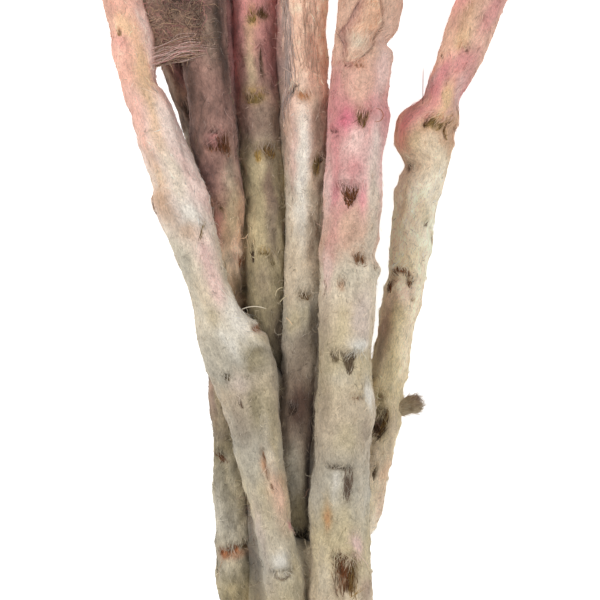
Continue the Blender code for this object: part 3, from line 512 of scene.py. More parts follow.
        (-4.5, -1.8, 4.3, 1.1, "mauve", 0.8), (-9.4, -2.3, 2.9, 0.9, "taupe", 0.8),
        (-3.6, -0.1, 4.7, 1.3, "khaki", 0.8), (-3.6, 2.4, 5, 0.9, "sand", 0.8),
        (-11.7, 0.3, 3.6, 1.6, "khaki", 0.8), (-11.9, 2.5, 3.2, 0.7, "sand", 0.7),
        (-17.6, 0.1, 1.8, 1.1, "moss", 0.5), (-18, 1.8, 2.2, 0.9, "straw", 0.6),
        (-22.5, 1.9, 4, 0.9, "taupe", 0.6), (-27.9, 0.3, 2.2, 1.3, "taupe", 0.5),
        (-30.6, 2.6, 2.9, 0.7, "tan", 0.7), (-36, 1.1, 2.9, 0.9, "straw", 0.5),
        (-36.9, 2.7, 2.5, 0.5, "flesh", 0.5), (-46.8, 2.3, 5.4, 0.9, "sand", 0.5),
    ],
}
# Scars of the leaves that the photograph shows, as (y, offset across, width, height, slant in degrees,
# narrowing towards the foot, arch, dye of the deepest fibres, dye of the palest)
SCARS = {
    "stem_1": [
        (48.1, -2, 0.9, 1.3, 0, 0.3, 0, "moss", "gold"), (12.6, 1.7, 0.5, 3.1, -35, 0.3, 0, "moss", "gold"),
        (-5.8, 6.5, 2.6, 1.3, 0, 0.2, 0.4, "rust", "orange"),
        (-14, -2, 1.4, 1.4, 0, 0.3, 0, "moss", "umber"),
        (-18.7, -1.1, 0.5, 1.6, 13, 0.2, 0, "cocoa", "taupe"),
        (-29.2, 0.7, 0.2, 4, -2, 0, 0, "cocoa", "orange"),
        (-32.8, 0.8, 0.2, 3.6, 8, 0, 0, "cocoa", "orange"),
        (-48.8, -0.1, 3.6, 0.7, 0, 0, -1.3, "bark", "moss"),
        (16.6, -5.1, 0.4, 2.2, 8, 0, 0, "cocoa", "tan"),
    ],
    "stem_2": [
        (33.8, -1.8, 1.6, 2.7, 0, 0.3, 0, "soot", "umber"),
    ],
    "stem_3": [
        (27.9, 1.7, 2.2, 4, 9, 0.2, 0, "bark", "rust"), (27.4, -0.4, 2.7, 1.3, 0, 0.2, 0, "bark", "rust"),
        (16.6, -0.2, 0.9, 0.9, 0, 0.2, 0, "moss", "gold"),
        (7, 3.1, 1.4, 2.3, -20, 0.3, 0, "rust", "orange"),
        (-28.3, -2.2, 2.2, 1.8, 41, 0.1, 0, "bark", "rust"),
        (-45.6, -1.4, 2.2, 1.8, 0, 0.1, 0, "rust", "orange"),
        (-44.9, 0.4, 2.4, 1.8, 0, 0.1, 0, "rust", "orange"),
        (-44.3, 2.1, 1.4, 1.3, 0, 0.1, 0, "bark", "gold"), (-46.1, -2.8, 0.5, 5.4, 0, 0, 0, "soot", "bark"),
        (30.2, 0.3, 0.9, 0.7, 0, 0.2, 0, "soot", "umber"),
    ],
    "stem_4": [
        (50.9, -0.6, 1.6, 2.2, 0, 0.1, 0, "moss", "gold"), (51.5, 1.7, 2.5, 1.8, 0, 0.2, 0, "bark", "moss"),
        (36.2, -0.6, 4, 1.6, 0, 0.3, 0, "moss", "gold"), (26.5, 1.6, 2.7, 2.5, 0, 0.2, 0.2, "bark", "gold"),
        (25.9, -0.5, 1.1, 2.2, 0, 0.2, 0, "gold", "gold"), (8.3, -0.5, 2.2, 0.5, 0, 0, 0, "moss", "gold"),
        (6.8, 0.9, 0.9, 2.2, 23, 0.2, 0, "moss", "khaki"), (42.8, 0.9, 0.5, 5, 0, 0, 0, "cocoa", "umber"),
        (8.6, -2.7, 1.3, 3.6, 0, 0.3, 0, "soot", "shade"),
    ],
    "stem_5": [
        (37.6, -2.1, 0.8, 2.2, -36, 0.3, 0, "soot", "soot"),
        (36.5, -0.5, 2, 1.4, 24, 0.2, 0.2, "orange", "tan"),
        (24.1, 1.8, 1.4, 3.6, 0, 0.2, 0, "moss", "gold"),
        (25.2, 2.5, 0.5, 1.8, -11, 0.2, 0, "soot", "bark"), (0.7, 0.2, 2.5, 1.3, 0, 0.4, 0, "bark", "gold"),
        (-42.8, 1.6, 3.1, 2.2, 0, 0.2, 0, "soot", "moss"),
        (-19.8, -0.9, 1.6, 2.2, 0, 0.3, 0, "soot", "umber"),
    ],
    "stem_6": [
        (32.6, 0.8, 2.5, 3.1, 0, 0.55, 0, "bark", "gold"),
        (18.9, -0.8, 4.7, 4, 0, 0.85, -0.2, "bark", "rust"),
        (7, 2.5, 2.5, 2.2, 0, 0.2, 0.5, "bark", "orange"), (5.6, 4.7, 0.7, 0.7, 0, 0.2, 0, "bark", "gold"),
        (2.7, -1.1, 1.6, 1.8, 0, 0.2, 0, "tan", "taupe"),
        (1.6, -4.1, 0.4, 2.3, -23, 0.1, 0, "cocoa", "tan"),
        (-10.4, -1.6, 1.8, 2, 0, 0.3, 0, "moss", "taupe"), (-11.4, 0.9, 3, 4, 0, 0.75, 0, "cocoa", "olive"),
        (-30.2, -0.6, 4, 0.9, 0, 0, 0, "umber", "olive"),
        (-33.5, 1.4, 1.4, 6.1, 0, 0.1, 0, "cocoa", "taupe"),
        (-49.5, 0.5, 3.2, 7.2, 0, 0, 0, "bark", "rust"), (-50.2, 2.4, 1.4, 7.6, 0, 0, 0, "bark", "gold"),
        (-46.4, -0.7, 1.6, 1.4, 0, 0.2, 0, "umber", "taupe"),
        (42.1, -2.5, 1.6, 0.4, 0, 0, 0, "maroon", "rose"), (42.1, -0.4, 1.6, 0.5, 0, 0, 0.2, "rust", "tan"),
        (30.4, -3.9, 2.2, 0.5, 0, 0, 0, "umber", "plum"), (-17.6, 2.3, 2.2, 0.5, 0, 0, 0, "tan", "tan"),
    ],
    "stem_7": [
        (31.7, 1.3, 3.8, 1.8, 0, 0.1, 0, "moss", "gold"),
        (31.9, -0.4, 1.1, 1.8, 13, 0.1, 0, "bark", "moss"),
        (30.6, 3.4, 0.5, 4.7, 10, 0.2, 0, "bark", "gold"), (30.8, 4.8, 1.6, 0.5, 0, 0, 0, "bark", "umber"),
        (45, 0.2, 2, 0.5, 0, 0, 0.5, "umber", "moss"), (43.7, -3, 0.4, 0.5, 0, 0, 0, "umber", "moss"),
        (23.8, -2.8, 0.7, 2, 0, 0.2, 0, "umber", "taupe"), (13.7, 2.3, 1.1, 0.9, 0, 0.2, 0, "umber", "tan"),
        (11, 3.4, 0.5, 1.6, 0, 0.2, 0, "taupe", "rust"), (4.0, -1.1, 4.2, 1.7, 0, 0, 1.3, "bark", "rust"),
        (2.5, -2.8, 1.5, 2.9, 0, 0.2, 0, "soot", "rust"), (2.9, 0.4, 1.1, 1.4, 30, 0.2, 0, "bark", "rust"),
        (0.2, 1.5, 0.9, 0.7, 0, 0.2, 0, "bark", "gold"), (-22.5, -0.5, 2.7, 6.3, -6, 0, 0, "soot", "bark"),
        (-22.3, 0.4, 0.7, 5.4, -6, 0, 0, "bark", "gold"), (-31, 0.7, 0.7, 3.1, 4, 0.2, 0, "moss", "umber"),
        (-17.5, -0.4, 1.6, 1.4, 0, 0.2, 0, "moss", "khaki"),
    ],
}
# Large swellings of the wool as (y, turn round the stem in degrees, height, half length, half width)
SWELLINGS = {
    "stem_1": [(-12.0, 14.0, 2.7, 9.0, 3.4), (38.0, 0.0, -0.5, 2.6, 2.0), (20.6, 176.0, 0.5, 1.6, 2.0),
               (-50.8, 70.0, 0.9, 2.2, 2.4), (-46.0, 95.0, 0.7, 2.2, 2.0)],
    "stem_3": [(30.6, 84.0, 0.9, 1.8, 1.8), (30.0, 60.0, 0.6, 2.6, 3.0)],
    "stem_5": [(31.0, 96.0, 0.5, 5.0, 1.8)],
    "stem_6": [(49.6, 112.0, 0.5, 6.4, 2.8), (-8.1, 74.0, 1.5, 1.5, 1.8), (-28.0, 88.0, 0.7, 3.6, 2.4),
               (-38.0, 80.0, 0.8, 4.6, 2.2), (0.0, 80.0, 0.6, 5.0, 2.6), (-21.0, 96.0, 0.7, 5.0, 3.0),
               (14.0, 96.0, 0.6, 3.0, 2.6), (26.6, 84.0, 0.7, 4.4, 2.8)],
    "stem_7": [(29.2, 120.0, 1.0, 2.8, 2.6), (22.0, 86.0, 0.4, 4.0, 2.4), (-8.0, 80.0, 0.5, 6.0, 2.2)],
}
# How strongly the wool is mottled, most on the dark, dusty stems at the back; and as (y, share) along each
# stem, how much lighter or darker than its dyes it is: partly the wool's own tone, and partly painted light
# that lightens a stem where it lies in the others' shade, most of all stem_7 in the shade of stem_6
WOOL_CONTRAST = {
    "stem_1": 1.0, "stem_2": 2.6, "stem_3": 2.2, "stem_4": 1.5, "stem_5": 1.2, "stem_6": 0.9, "stem_7": 0.9,
}
TONE_AND_PAINTED_LIGHT = {
    "stem_1": (
        (-50, 0.88), (-44, 0.88), (-32, 1.06), (-21, 0.84), (-12, 0.92), (-4, 1.0), (36, 1.0), (43, 1.1),
        (70, 1.0),
    ),
    "stem_2": ((20, 1.0), (34, 1.4), (50, 1.4), (70, 1.0)),
    "stem_3": ((-50, 1.2), (-40, 1.0), (3, 1.0), (9, 1.14), (16, 1.0)),
    "stem_4": ((32, 1.0), (44, 1.28), (56, 1.28), (72, 1.0)),
    "stem_5": ((32, 1.0), (44, 1.3), (56, 1.3), (72, 1.0)),
    "stem_6": ((-36, 1.0), (-27, 0.94), (-18, 0.9), (0, 1.0), (12, 0.87), (22, 1.0)),
    "stem_7": (
        (-60, 1.25), (-40, 1.3), (-7, 1.52), (8, 1.55), (20, 1.38), (27, 1.35), (37, 1.0), (52, 1.12),
        (72, 1.0),
    ),
}
AROUND = 64
PHOTO_REACH = 58.0
FINE_STEP = 0.5
COARSE_STEP = 1.6


def turn_of(name, y, offset):
    """Turn round the stem, in radians, of a point seen from above at an offset across its axis."""
    return np.arccos(np.clip(offset / girth(name, y), -0.98, 0.98))


def seen_from_above(name, y, turn):
    """Where a place on a stem shows in the photograph: its y there, and its offset across from the stem's
    middle."""
    centre, along, side, up = stem_frame(name, y)
    out = np.cos(turn)[..., None] * side + np.sin(turn)[..., None] * up
    point = centre + girth(name, y)[..., None] * out
    scale = VIEW_DISTANCE / (VIEW_DISTANCE + VIEW_HEIGHT - point[..., 2])
    seen_y = point[..., 1] * scale
    return seen_y, point[..., 0] * scale - straight_between(name, 1, seen_y)


def place_of_mark(name, y, offset):
    """Place along and round a stem of a mark that the photograph shows at y and at an offset across, found
    in steps that each make up what is missing."""
    at, across_it = float(y), float(offset)
    for _ in range(10):
        seen_y, seen_offset = seen_from_above(name, np.array(at), turn_of(name, at, across_it))
        at += 0.8 * (y - float(seen_y))
        across_it += 0.8 * (offset - float(seen_offset))
    return at, float(turn_of(name, at, across_it))


def turned(angle, centre):
    """Signed angle from a centre, between minus and plus half a turn."""
    return (angle - centre + math.pi) % math.tau - math.pi


def stem_grid_rows(name):
    """Places of the sleeve's rings: close together in the photographed stretch, wider apart beyond it."""
    low = np.arange(foot_y(name) + 0.8, -PHOTO_REACH, COARSE_STEP)
    mid = np.arange(-PHOTO_REACH, PHOTO_REACH, FINE_STEP)
    high = np.arange(PHOTO_REACH, neck_y(name) - 0.2, COARSE_STEP)
    return np.concatenate([low, mid, high, [neck_y(name)]])


def stem_relief(name, y, turn):
    """Height of the wool over the stem's plain radius, in millimetres: swellings shaped as bells along and
    round the stem, a step up below each scar, a lip that hangs over it and a pit at it, soft lumps from
    noise drawn out along the stem, and on top and below it a radius evened out by its running mean."""
    r = girth(name, y)
    seed = int(name[-1])
    relief = np.zeros(np.broadcast(y, turn).shape)
    for at, degrees, height, half_long, half_wide in SWELLINGS.get(name, ()):
        at = place_of_mark(name, at, math.cos(math.radians(degrees)) * float(girth(name, at)))[0]
        side = turned(turn, math.radians(degrees)) * r
        relief += height * np.exp(-(((y - at) / half_long) ** 2) - (side / half_wide) ** 2)
    for at, offset, wide, tall, *_ in scars_of(name):
        below = at + tall / 2 - y
        side = turned(turn, offset) * r
        pad = np.exp(-np.maximum(below, 0.0) ** 2 / 60.0) / (1.0 + np.exp(-below / 0.5))
        relief += 0.22 * pad * np.exp(-((side / 3.2) ** 2))
        over = np.where(below < -0.5, (below + 0.5) / 1.6, (below + 0.5) / 0.45)
        relief += min(0.6, 0.2 + wide * 0.09) * np.exp(-(over**2) - (side / (wide * 0.6 + 0.3)) ** 2)
        pit = np.exp(-((np.abs(y - at) / (tall * 0.55)) ** 3) - (np.abs(side) / (wide * 0.55)) ** 3)
        relief -= min(0.8, 0.25 + wide * 0.14) * pit
    place = np.stack(np.broadcast_arrays(r * np.cos(turn), y * 0.55, r * np.sin(turn)), axis=-1)
    relief += 0.34 * smooth_noise(place / 3.3, seed) + 0.28 * smooth_noise(place / 1.6, seed + 20)
    relief += 0.20 * smooth_noise(place / 0.8, seed + 40)
    even = sum(
        girth(name, np.clip(y + step, foot_y(name), neck_y(name))) for step in np.arange(-5.0, 5.1, 1.0)
    ) / 11.0
    relief += (even - r) * np.sin(turn) ** 2 * 0.8
    return relief


def scars_of(name):
    """Photographed scars with their turn round the stem, and scars that the photograph doesn't see, in a
    spiral."""
    seen = [(*place_of_mark(name, y, off), *rest) for y, off, *rest in SCARS[name]]
    draw = random.Random(name + "_scars")
    for i in range(int((60.0 - foot_y(name)) / 9.0)):
        y = foot_y(name) + 7.0 + 9.0 * i
        turn = math.radians(200.0 + (137.5 * i) % 140.0)
        size = draw.uniform(0.7, 1.2)
        seen.append((y, turn, 2.8 * size, 2.0 * size, draw.uniform(-15, 15), 0.4, 0.2, "bark", "gold"))
    return seen


def painted_crevice_shade(name, y, turn):
    """Share of painted shade, darker and browner, where a place lies in the crevice against another stem: a
    bell of its distance from the other's surface."""
    centre, along, side, up = stem_frame(name, y)
    here = centre + girth(name, y)[..., None] * (
        np.cos(turn)[..., None] * side + np.sin(turn)[..., None] * up
    )
    share = np.zeros(np.shape(y))
    for other in STEMS:
        if other != name:
            there = (y > foot_y(other)) & (y < neck_y(other))
            apart = np.linalg.norm(
                here - middle_line(other, np.clip(y, foot_y(other), neck_y(other))), axis=-1
            )
            gap = np.maximum(apart - radius(other, np.clip(y, foot_y(other), neck_y(other))), 0.0)
            share = np.maximum(share, np.where(there, np.exp(-((gap / 0.9) ** 2)), 0.0))
    return 0.55 * share


def wool_colour(name, y, turn):
    """Colour of the wool: the dyes along the stem, blended in ragged steps, with painted shade in crevices,
    streaks and patches laid on as bells drawn out along it, some of them painted shade, brown stain in and
    round each scar, and a cloudy change of tone, with painted light where a stem lies in the others' shade."""
    y, turn = np.broadcast_arrays(y, turn)
    r = girth(name, y)
    seed = int(name[-1])
    place = np.stack([r * np.cos(turn), y * 0.5, r * np.sin(turn)], axis=-1)
    ragged = 2.6 * smooth_noise(place / 3.0, seed + 60) + 1.6 * smooth_noise(place / 1.1, seed + 61)
    seen_y, offset = seen_from_above(name, y, turn)
    keys = DYE_ALONG[name]
    colour = np.stack(
        [np.interp(seen_y + ragged, [k[0] for k in keys], [DYES[k[1]][c] for k in keys]) for c in range(3)],
        axis=-1,
    )
    # Painted shade: the wool darker and browner where it lies in a crevice against another stem.
    in_painted_shade = painted_crevice_shade(name, y, turn)[..., None]
    colour = colour * (1.0 - in_painted_shade) + (colour * 0.3 + DYES["cocoa"] * 0.4) * in_painted_shade
    offset = offset + 0.5 * smooth_noise(place / 1.6, seed + 62) + 0.25 * smooth_noise(place / 0.6, seed + 63)
    upper = 1.0 / (1.0 + np.exp(-np.sin(turn) * 8.0))
    for at, off, half_long, half_wide, dye, strength in DYE_PATCHES[name]:
        bell = np.exp(-(((seen_y + ragged * 0.4 - at) / half_long) ** 2) - ((offset - off) / half_wide) ** 2)
        share = (strength * np.clip(bell * 1.25, 0.0, 1.0) * upper)[..., None]
        colour = colour * (1.0 - share) + DYES[dye] * share
    for at, centre, wide, tall, slant, narrowing, arch, deep, pale in scars_of(name):
        side = turned(turn, centre) * r
        lean = side - math.tan(math.radians(slant)) * (y - at)
        rise = y - at - arch * (1.0 - (2.0 * lean / wide) ** 2)
        half = wide / 2 * (1.0 - narrowing * np.clip(0.5 - rise / tall, 0.0, 1.0))
        rough = 0.45 * smooth_noise(place / 0.45, seed + 64)
        edge = ((lean / np.maximum(half, 0.15)) ** 4 + (2.0 * rise / tall) ** 4) ** 0.25 + rough
        stain = np.clip((1.0 - edge) / 0.6, 0.0, 0.9)[..., None]
        halo = np.clip((1.7 - edge) / 1.1, 0.0, 1.0)[..., None] * 0.25
        colour = colour * (1.0 - halo) + (DYES[pale] * 0.5 + colour * 0.4) * halo
        colour = colour * (1.0 - stain) + (DYES[deep] * 0.8 + DYES[pale] * 0.2) * stain
    mottle = 0.10 * smooth_noise(place / 2.4, seed + 65) + 0.12 * smooth_noise(place / 1.0, seed + 66)
    mottle = mottle + 0.14 * smooth_noise(place / 0.5, seed + 67)
    # Tone along the stem: partly its own, partly painted light against the others' shade.
    tone = np.interp(y, *zip(*TONE_AND_PAINTED_LIGHT[name])) * (0.98 + mottle * WOOL_CONTRAST[name])
    return np.clip(colour * tone[..., None], 0.0, 1.0)


def fill_mesh(name, points, quads, triangles, attributes):
    """Mesh object from arrays: points in layout millimetres, faces by point number, and one value a point
    for each named attribute, a colour where it has four parts and a vector where it has three."""
    mesh = bpy.data.meshes.new(name)
    quads, triangles = (
        np.asarray(quads, np.int32).reshape(-1, 4), np.asarray(triangles, np.int32).reshape(-1, 3)
    )
    corners = np.concatenate([quads.ravel(), triangles.ravel()])
    sizes = np.concatenate([np.full(len(quads), 4), np.full(len(triangles), 3)])
    mesh.vertices.add(len(points))
    mesh.vertices.foreach_set("co", placed(points).astype(np.float32).ravel())
    mesh.loops.add(len(corners))
    mesh.loops.foreach_set("vertex_index", corners.astype(np.int32))
    mesh.polygons.add(len(sizes))
    mesh.polygons.foreach_set("loop_start", (np.cumsum(sizes) - sizes).astype(np.int32))
    mesh.update(calc_edges=True)
    mesh.polygons.foreach_set("use_smooth", np.ones(len(sizes), bool))
    for label, values in attributes.items():
        if values.shape[-1] == 4:
            mesh.attributes.new(label, "FLOAT_COLOR", "POINT").data.foreach_set(
                "color", values.astype(np.float32).ravel()
            )
        else:
            mesh.attributes.new(label, "FLOAT_VECTOR", "POINT").data.foreach_set(
                "vector", values.astype(np.float32).ravel()
            )
    mesh.validate()
    obj = bpy.data.objects.new(name, mesh)
    bpy.context.scene.collection.objects.link(obj)
    return obj


def tube_faces(rows, around):
    """Quads of a grid of rings, each ring closed on itself, facing outward when the rings turn
    anticlockwise seen from their far end."""
    row, col = np.meshgrid(np.arange(rows - 1), np.arange(around), indexing="ij")
    here, beside = row * around + col, row * around + (col + 1) % around
    return np.stack([here, here + around, beside + around, beside], axis=-1).reshape(-1, 4)


def cap_faces(ring, pole, flip):
    """Triangles from a ring of points to a pole."""
    beside = np.roll(ring, -1)
    fan = np.stack([ring, beside, np.full(len(ring), pole)], axis=-1)
    return fan[:, ::-1] if flip else fan


def new_group(name, inputs, outputs):
    """Shader group with named sockets."""
    group = bpy.data.node_groups.new(name, "ShaderNodeTree")
    for label, kind, value in inputs:
        socket = group.interface.new_socket(label, in_out="INPUT", socket_type=kind)
        if value is not None:
            socket.default_value = value
    for label, kind in outputs:
        group.interface.new_socket(label, in_out="OUTPUT", socket_type=kind)
    return group, group.nodes.new("NodeGroupInput"), group.nodes.new("NodeGroupOutput")


def math_node(nodes, links, operation, first, second):
    node = nodes.new("ShaderNodeMath")
    node.operation = operation
    for socket, value in zip(node.inputs, (first, second)):
        if isinstance(value, (int, float)):
            socket.default_value = value
        else:
            links.new(value, socket)
    return node.outputs[0]


def stretched_noise(nodes, links, vector, scale, detail):
    """Noise over a vector drawn out by a scale for each axis."""
    drawn = nodes.new("ShaderNodeVectorMath")
    drawn.operation = "MULTIPLY"
    drawn.inputs[1].default_value = scale
    links.new(vector, drawn.inputs[0])
    noise = nodes.new("ShaderNodeTexNoise")
    noise.inputs["Scale"].default_value = 1.0
    noise.inputs["Detail"].default_value = detail
    noise.inputs["Roughness"].default_value = 0.6
    links.new(drawn.outputs[0], noise.inputs["Vector"])
    return noise.outputs["Fac"]


def toned(nodes, links, colour, tone):
    """A colour made lighter or darker by a tone."""
    scaled = nodes.new("ShaderNodeVectorMath")
    scaled.operation = "SCALE"
    links.new(colour, scaled.inputs[0])
    links.new(tone, scaled.inputs["Scale"])
    return scaled.outputs[0]


def wool_strands_group():
    """Fine strands of wool: noise drawn out along the grain and bent by a slower noise, in two sizes, which
    lightens and darkens the colour, and the height that they stand."""
    group, start, end = new_group(
        "wool_strands",
        [("Color", "NodeSocketColor", (0.8, 0.8, 0.8, 1.0)), ("Grain", "NodeSocketVector", None),
         ("Contrast", "NodeSocketFloat", 0.3)],
        [("Color", "NodeSocketColor"), ("Height", "NodeSocketFloat")],
    )
    nodes, links = group.nodes, group.links
    bend = nodes.new("ShaderNodeTexNoise")
    bend.inputs["Scale"].default_value = 0.7
    bend.inputs["Detail"].default_value = 2.0
    links.new(start.outputs["Grain"], bend.inputs["Vector"])
    bent = nodes.new("ShaderNodeVectorMath")
    bent.operation = "MULTIPLY_ADD"
    bent.inputs[1].default_value = (0.9, 0.9, 0.9)
    links.new(bend.outputs["Color"], bent.inputs[0])
    links.new(start.outputs["Grain"], bent.inputs[2])
    fine = stretched_noise(nodes, links, bent.outputs[0], (7.0, 7.0, 2.8), 3.0)
    coarse = stretched_noise(nodes, links, bent.outputs[0], (3.4, 3.4, 1.36), 3.0)
    height = math_node(nodes, links, "MULTIPLY", math_node(nodes, links, "ADD", fine, coarse), 0.5)
    spread = math_node(nodes, links, "MULTIPLY", math_node(nodes, links, "SUBTRACT", height, 0.5), 2.6)
    swing = math_node(nodes, links, "MULTIPLY", spread, start.outputs["Contrast"])
    tone = math_node(nodes, links, "ADD", swing, 1.0)
    links.new(toned(nodes, links, start.outputs["Color"], tone), end.inputs["Color"])
    links.new(height, end.inputs["Height"])
    return group


def fibrous_material(name, group, bump, depth, roughness, specular):
    """Dry plant skin: its colour attribute through a group's strands or ribs, with their height as bump. It
    gives back the material, the group's node and the shader."""
    mat = bpy.data.materials.new(name)
    mat.use_nodes = True
    nodes, links = mat.node_tree.nodes, mat.node_tree.links
    bsdf = nodes["Principled BSDF"]
    fibres = nodes.new("ShaderNodeGroup")
    fibres.node_tree = group
    for label, output, socket in (("Dye", "Color", "Color"), ("Grain", "Vector", "Grain")):
        kept = nodes.new("ShaderNodeAttribute")
        kept.attribute_name = label
        links.new(kept.outputs[output], fibres.inputs[socket])
    links.new(fibres.outputs["Color"], bsdf.inputs["Base Color"])
    lift = nodes.new("ShaderNodeBump")
    lift.inputs["Strength"].default_value = bump
    lift.inputs["Distance"].default_value = depth * MM
    links.new(fibres.outputs["Height"], lift.inputs["Height"])
    links.new(lift.outputs["Normal"], bsdf.inputs["Normal"])
    bsdf.inputs["Roughness"].default_value = roughness
    bsdf.inputs["Specular IOR Level"].default_value = specular
    return mat, fibres, bsdf


wool_strands = wool_strands_group()


def felt_material(name, contrast, bump, roughness, sheen):
    """Matt wool, with a soft sheen."""
    mat, strands, bsdf = fibrous_material(name, wool_strands, bump, 0.25, roughness, 0.15)
    strands.inputs["Contrast"].default_value = contrast
    bsdf.inputs["Sheen Weight"].default_value = sheen
    bsdf.inputs["Sheen Roughness"].default_value = 0.6
    return mat


def add_opaque(colour):
    return np.concatenate([colour, np.ones(colour.shape[:-1] + (1,))], axis=-1)


def join_rings(name, pieces, material):
    """One piece of many closed pieces made of rings, each with its colour and grain at every ring point."""
    points, quads, fans, dyes, grains, count = [], [], [], [], [], 0
    for rings, colour, grain in pieces:
        rows, around = rings.shape[:2]
        size = rows * around
        points += [rings.reshape(-1, 3), rings[:1].mean(axis=1), rings[-1:].mean(axis=1)]
        dyes += [colour.reshape(-1, 3), colour[0, :1], colour[-1, :1]]
        grains += [grain.reshape(-1, 3), grain[0, :1], grain[-1, :1]]
        quads.append(tube_faces(rows, around) + count)
        fans.append(cap_faces(np.arange(around), size, True) + count)
        fans.append(cap_faces(np.arange(around) + size - around, size + 1, False) + count)
        count += size + 2
    values = {"Dye": add_opaque(np.clip(np.concatenate(dyes), 0, 1)), "Grain": np.concatenate(grains)}
    obj = fill_mesh(name, np.concatenate(points), np.concatenate(quads), np.concatenate(fans), values)
    obj.data.materials.append(material)
    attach(obj, "root")
    return obj


stem_felt = felt_material("stem_felt", 0.75, 0.9, 0.95, 0.15)
SLEEVES = {}


def make_sleeve(name):
    """Sleeve of wool: rings round the middle line at the plain radius plus the relief, closed at both
    ends."""
    y = stem_grid_rows(name)
    turn = np.arange(AROUND) * math.tau / AROUND
    yy, tt = np.meshgrid(y, turn, indexing="ij")
    reach = girth(name, yy) + stem_relief(name, yy, tt)
    ends = np.minimum(np.clip((yy - y[0]) / 1.5, 0.0, 1.0) * 0.25 + 0.75, 1.0)
    reach = np.maximum(reach * np.sqrt(ends), 1.0)
    centre, along, side, up = stem_frame(name, y)
    out = np.cos(tt)[..., None] * side[:, None] + np.sin(tt)[..., None] * up[:, None]
    points = centre[:, None] + reach[..., None] * out
    points[..., 2] = np.maximum(points[..., 2], 0.35)
    colour = wool_colour(name, yy, tt)
    grain = np.stack([4.0 * np.cos(tt), 4.0 * np.sin(tt), yy + 40.0 * int(name[-1])], axis=-1)
    sleeve = join_rings(name + "_wool", [(points, colour, grain)], stem_felt)
    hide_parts(name)
    SLEEVES[name] = {"rows": y, "reach": reach, "colour": colour}


for stem_name in STEMS:
    make_sleeve(stem_name)

# Loose wool. The sleeve's own fine, dull hairs lie along the stem in combed, wandering locks: short down
# all over it, and longer wisps that lift off it. Where stems touch, hairs of both are felted into each
# other, and at the top left a torn lock is strung from the first stem to the two dark ones behind it.
DOWN_IN_PHOTO = 8000
DOWN_BEYOND = 2400
WISPS = 540
TIP_TAPER = {3: (1.0, 0.85), 4: (1.0, 0.95, 0.7), 5: (1.0, 1.0, 0.9, 0.6), 9: (0.8, 1, 1, 1, 1, 1, 0.9, 0.7)}


def between_rings(name, key, y, turn):
    """A value kept for the sleeve's ring points, at any place on it, by straight shares of the four
    nearest."""
    sleeve = SLEEVES[name]
    grid = sleeve[key]
    row = np.interp(y, sleeve["rows"], np.arange(len(sleeve["rows"])))
    col = (turn % math.tau) / math.tau * AROUND
    i = np.clip(np.floor(row).astype(int), 0, len(sleeve["rows"]) - 2)
    j = np.floor(col).astype(int) % AROUND
    f, g = row - i, col - np.floor(col)
    if grid.ndim == 3:
        f, g = f[..., None], g[..., None]
    beside = (j + 1) % AROUND
    return (grid[i, j] * (1 - f) + grid[i + 1, j] * f) * (1 - g) + (
        grid[i, beside] * (1 - f) + grid[i + 1, beside] * f
    ) * g


def on_sleeve(name, y, turn, lift):
    """Point over the sleeve at a place along and round the stem, and the direction straight out from it."""
    centre, along, side, up = stem_frame(name, y)
    out = np.cos(turn)[..., None] * side + np.sin(turn)[..., None] * up
    return centre + (between_rings(name, "reach", y, turn) + lift)[..., None] * out, out


def fibre_arrays(paths, outward, width, roll, colour):
    """Flat fibres along paths of a few points each: two edge points at each point, a fibre's width apart
    and turned by its roll, and one at its tip. The tip is a little lighter than the root."""
    number, stations = paths.shape[:2]
    along = unit(np.gradient(paths, axis=1))
    side = unit(np.cross(along, outward))
    across_it = side * np.cos(roll)[:, None, None] + np.cross(side, along) * np.sin(roll)[:, None, None]
    half = (width[:, None] * np.array(TIP_TAPER[stations]))[..., None] / 2
    left = paths[:, :-1] - across_it[:, :-1] * half
    right = paths[:, :-1] + across_it[:, :-1] * half
    pairs = np.stack([left, right], axis=2).reshape(number, -1, 3)
    points = np.concatenate([pairs, paths[:, -1:]], axis=1)
    each = points.shape[1]
    first = (np.arange(number) * each)[:, None]
    steps = np.arange(stations - 2) * 2
    quads = np.stack([first + steps, first + steps + 1, first + steps + 3, first + steps + 2], axis=-1)
    last = each - 1
    tips = np.concatenate([first + last - 2, first + last - 1, first + last], axis=1)
    shade = np.repeat(np.linspace(0.88, 1.12, stations)[:-1], 2)
    shade = np.append(shade, 1.14)
    tone = np.clip(colour[:, None, :] * shade[None, :, None], 0.0, 1.0)
    return points.reshape(-1, 3), quads.reshape(-1, 4), tips, tone.reshape(-1, 3)


def join_fibres(name, batches, material):
    """One piece of several batches of fibres."""
    points, quads, tips, tones, count = [], [], [], [], 0
    for batch_points, batch_quads, batch_tips, batch_tones in batches:
        points.append(batch_points)
        quads.append(batch_quads + count)
        tips.append(batch_tips + count)
        tones.append(batch_tones)
        count += len(batch_points)
    points = np.concatenate(points)
    points[:, 2] = np.maximum(points[:, 2], 0.1)
    obj = fill_mesh(
        name, points, np.concatenate(quads), np.concatenate(tips),
        {"Dye": add_opaque(np.concatenate(tones)), "Grain": points * np.array([2.0, 2.0, 0.5])},
    )
    obj.data.materials.append(material)
    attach(obj, "root")
    return obj


def paler_with_highlight(colour, draw, low, high):
    """Colour of a hair over wool of a colour: a drawn share of a paler one, partly the hair's own paler tone
    and partly painted highlight of the light that loose hairs catch.
    """
    share = draw.uniform(low, high, (len(colour), 1))
    light = np.clip(colour * 1.25 + 0.10, 0.0, 0.95)
    return colour * (1 - share) + light * share


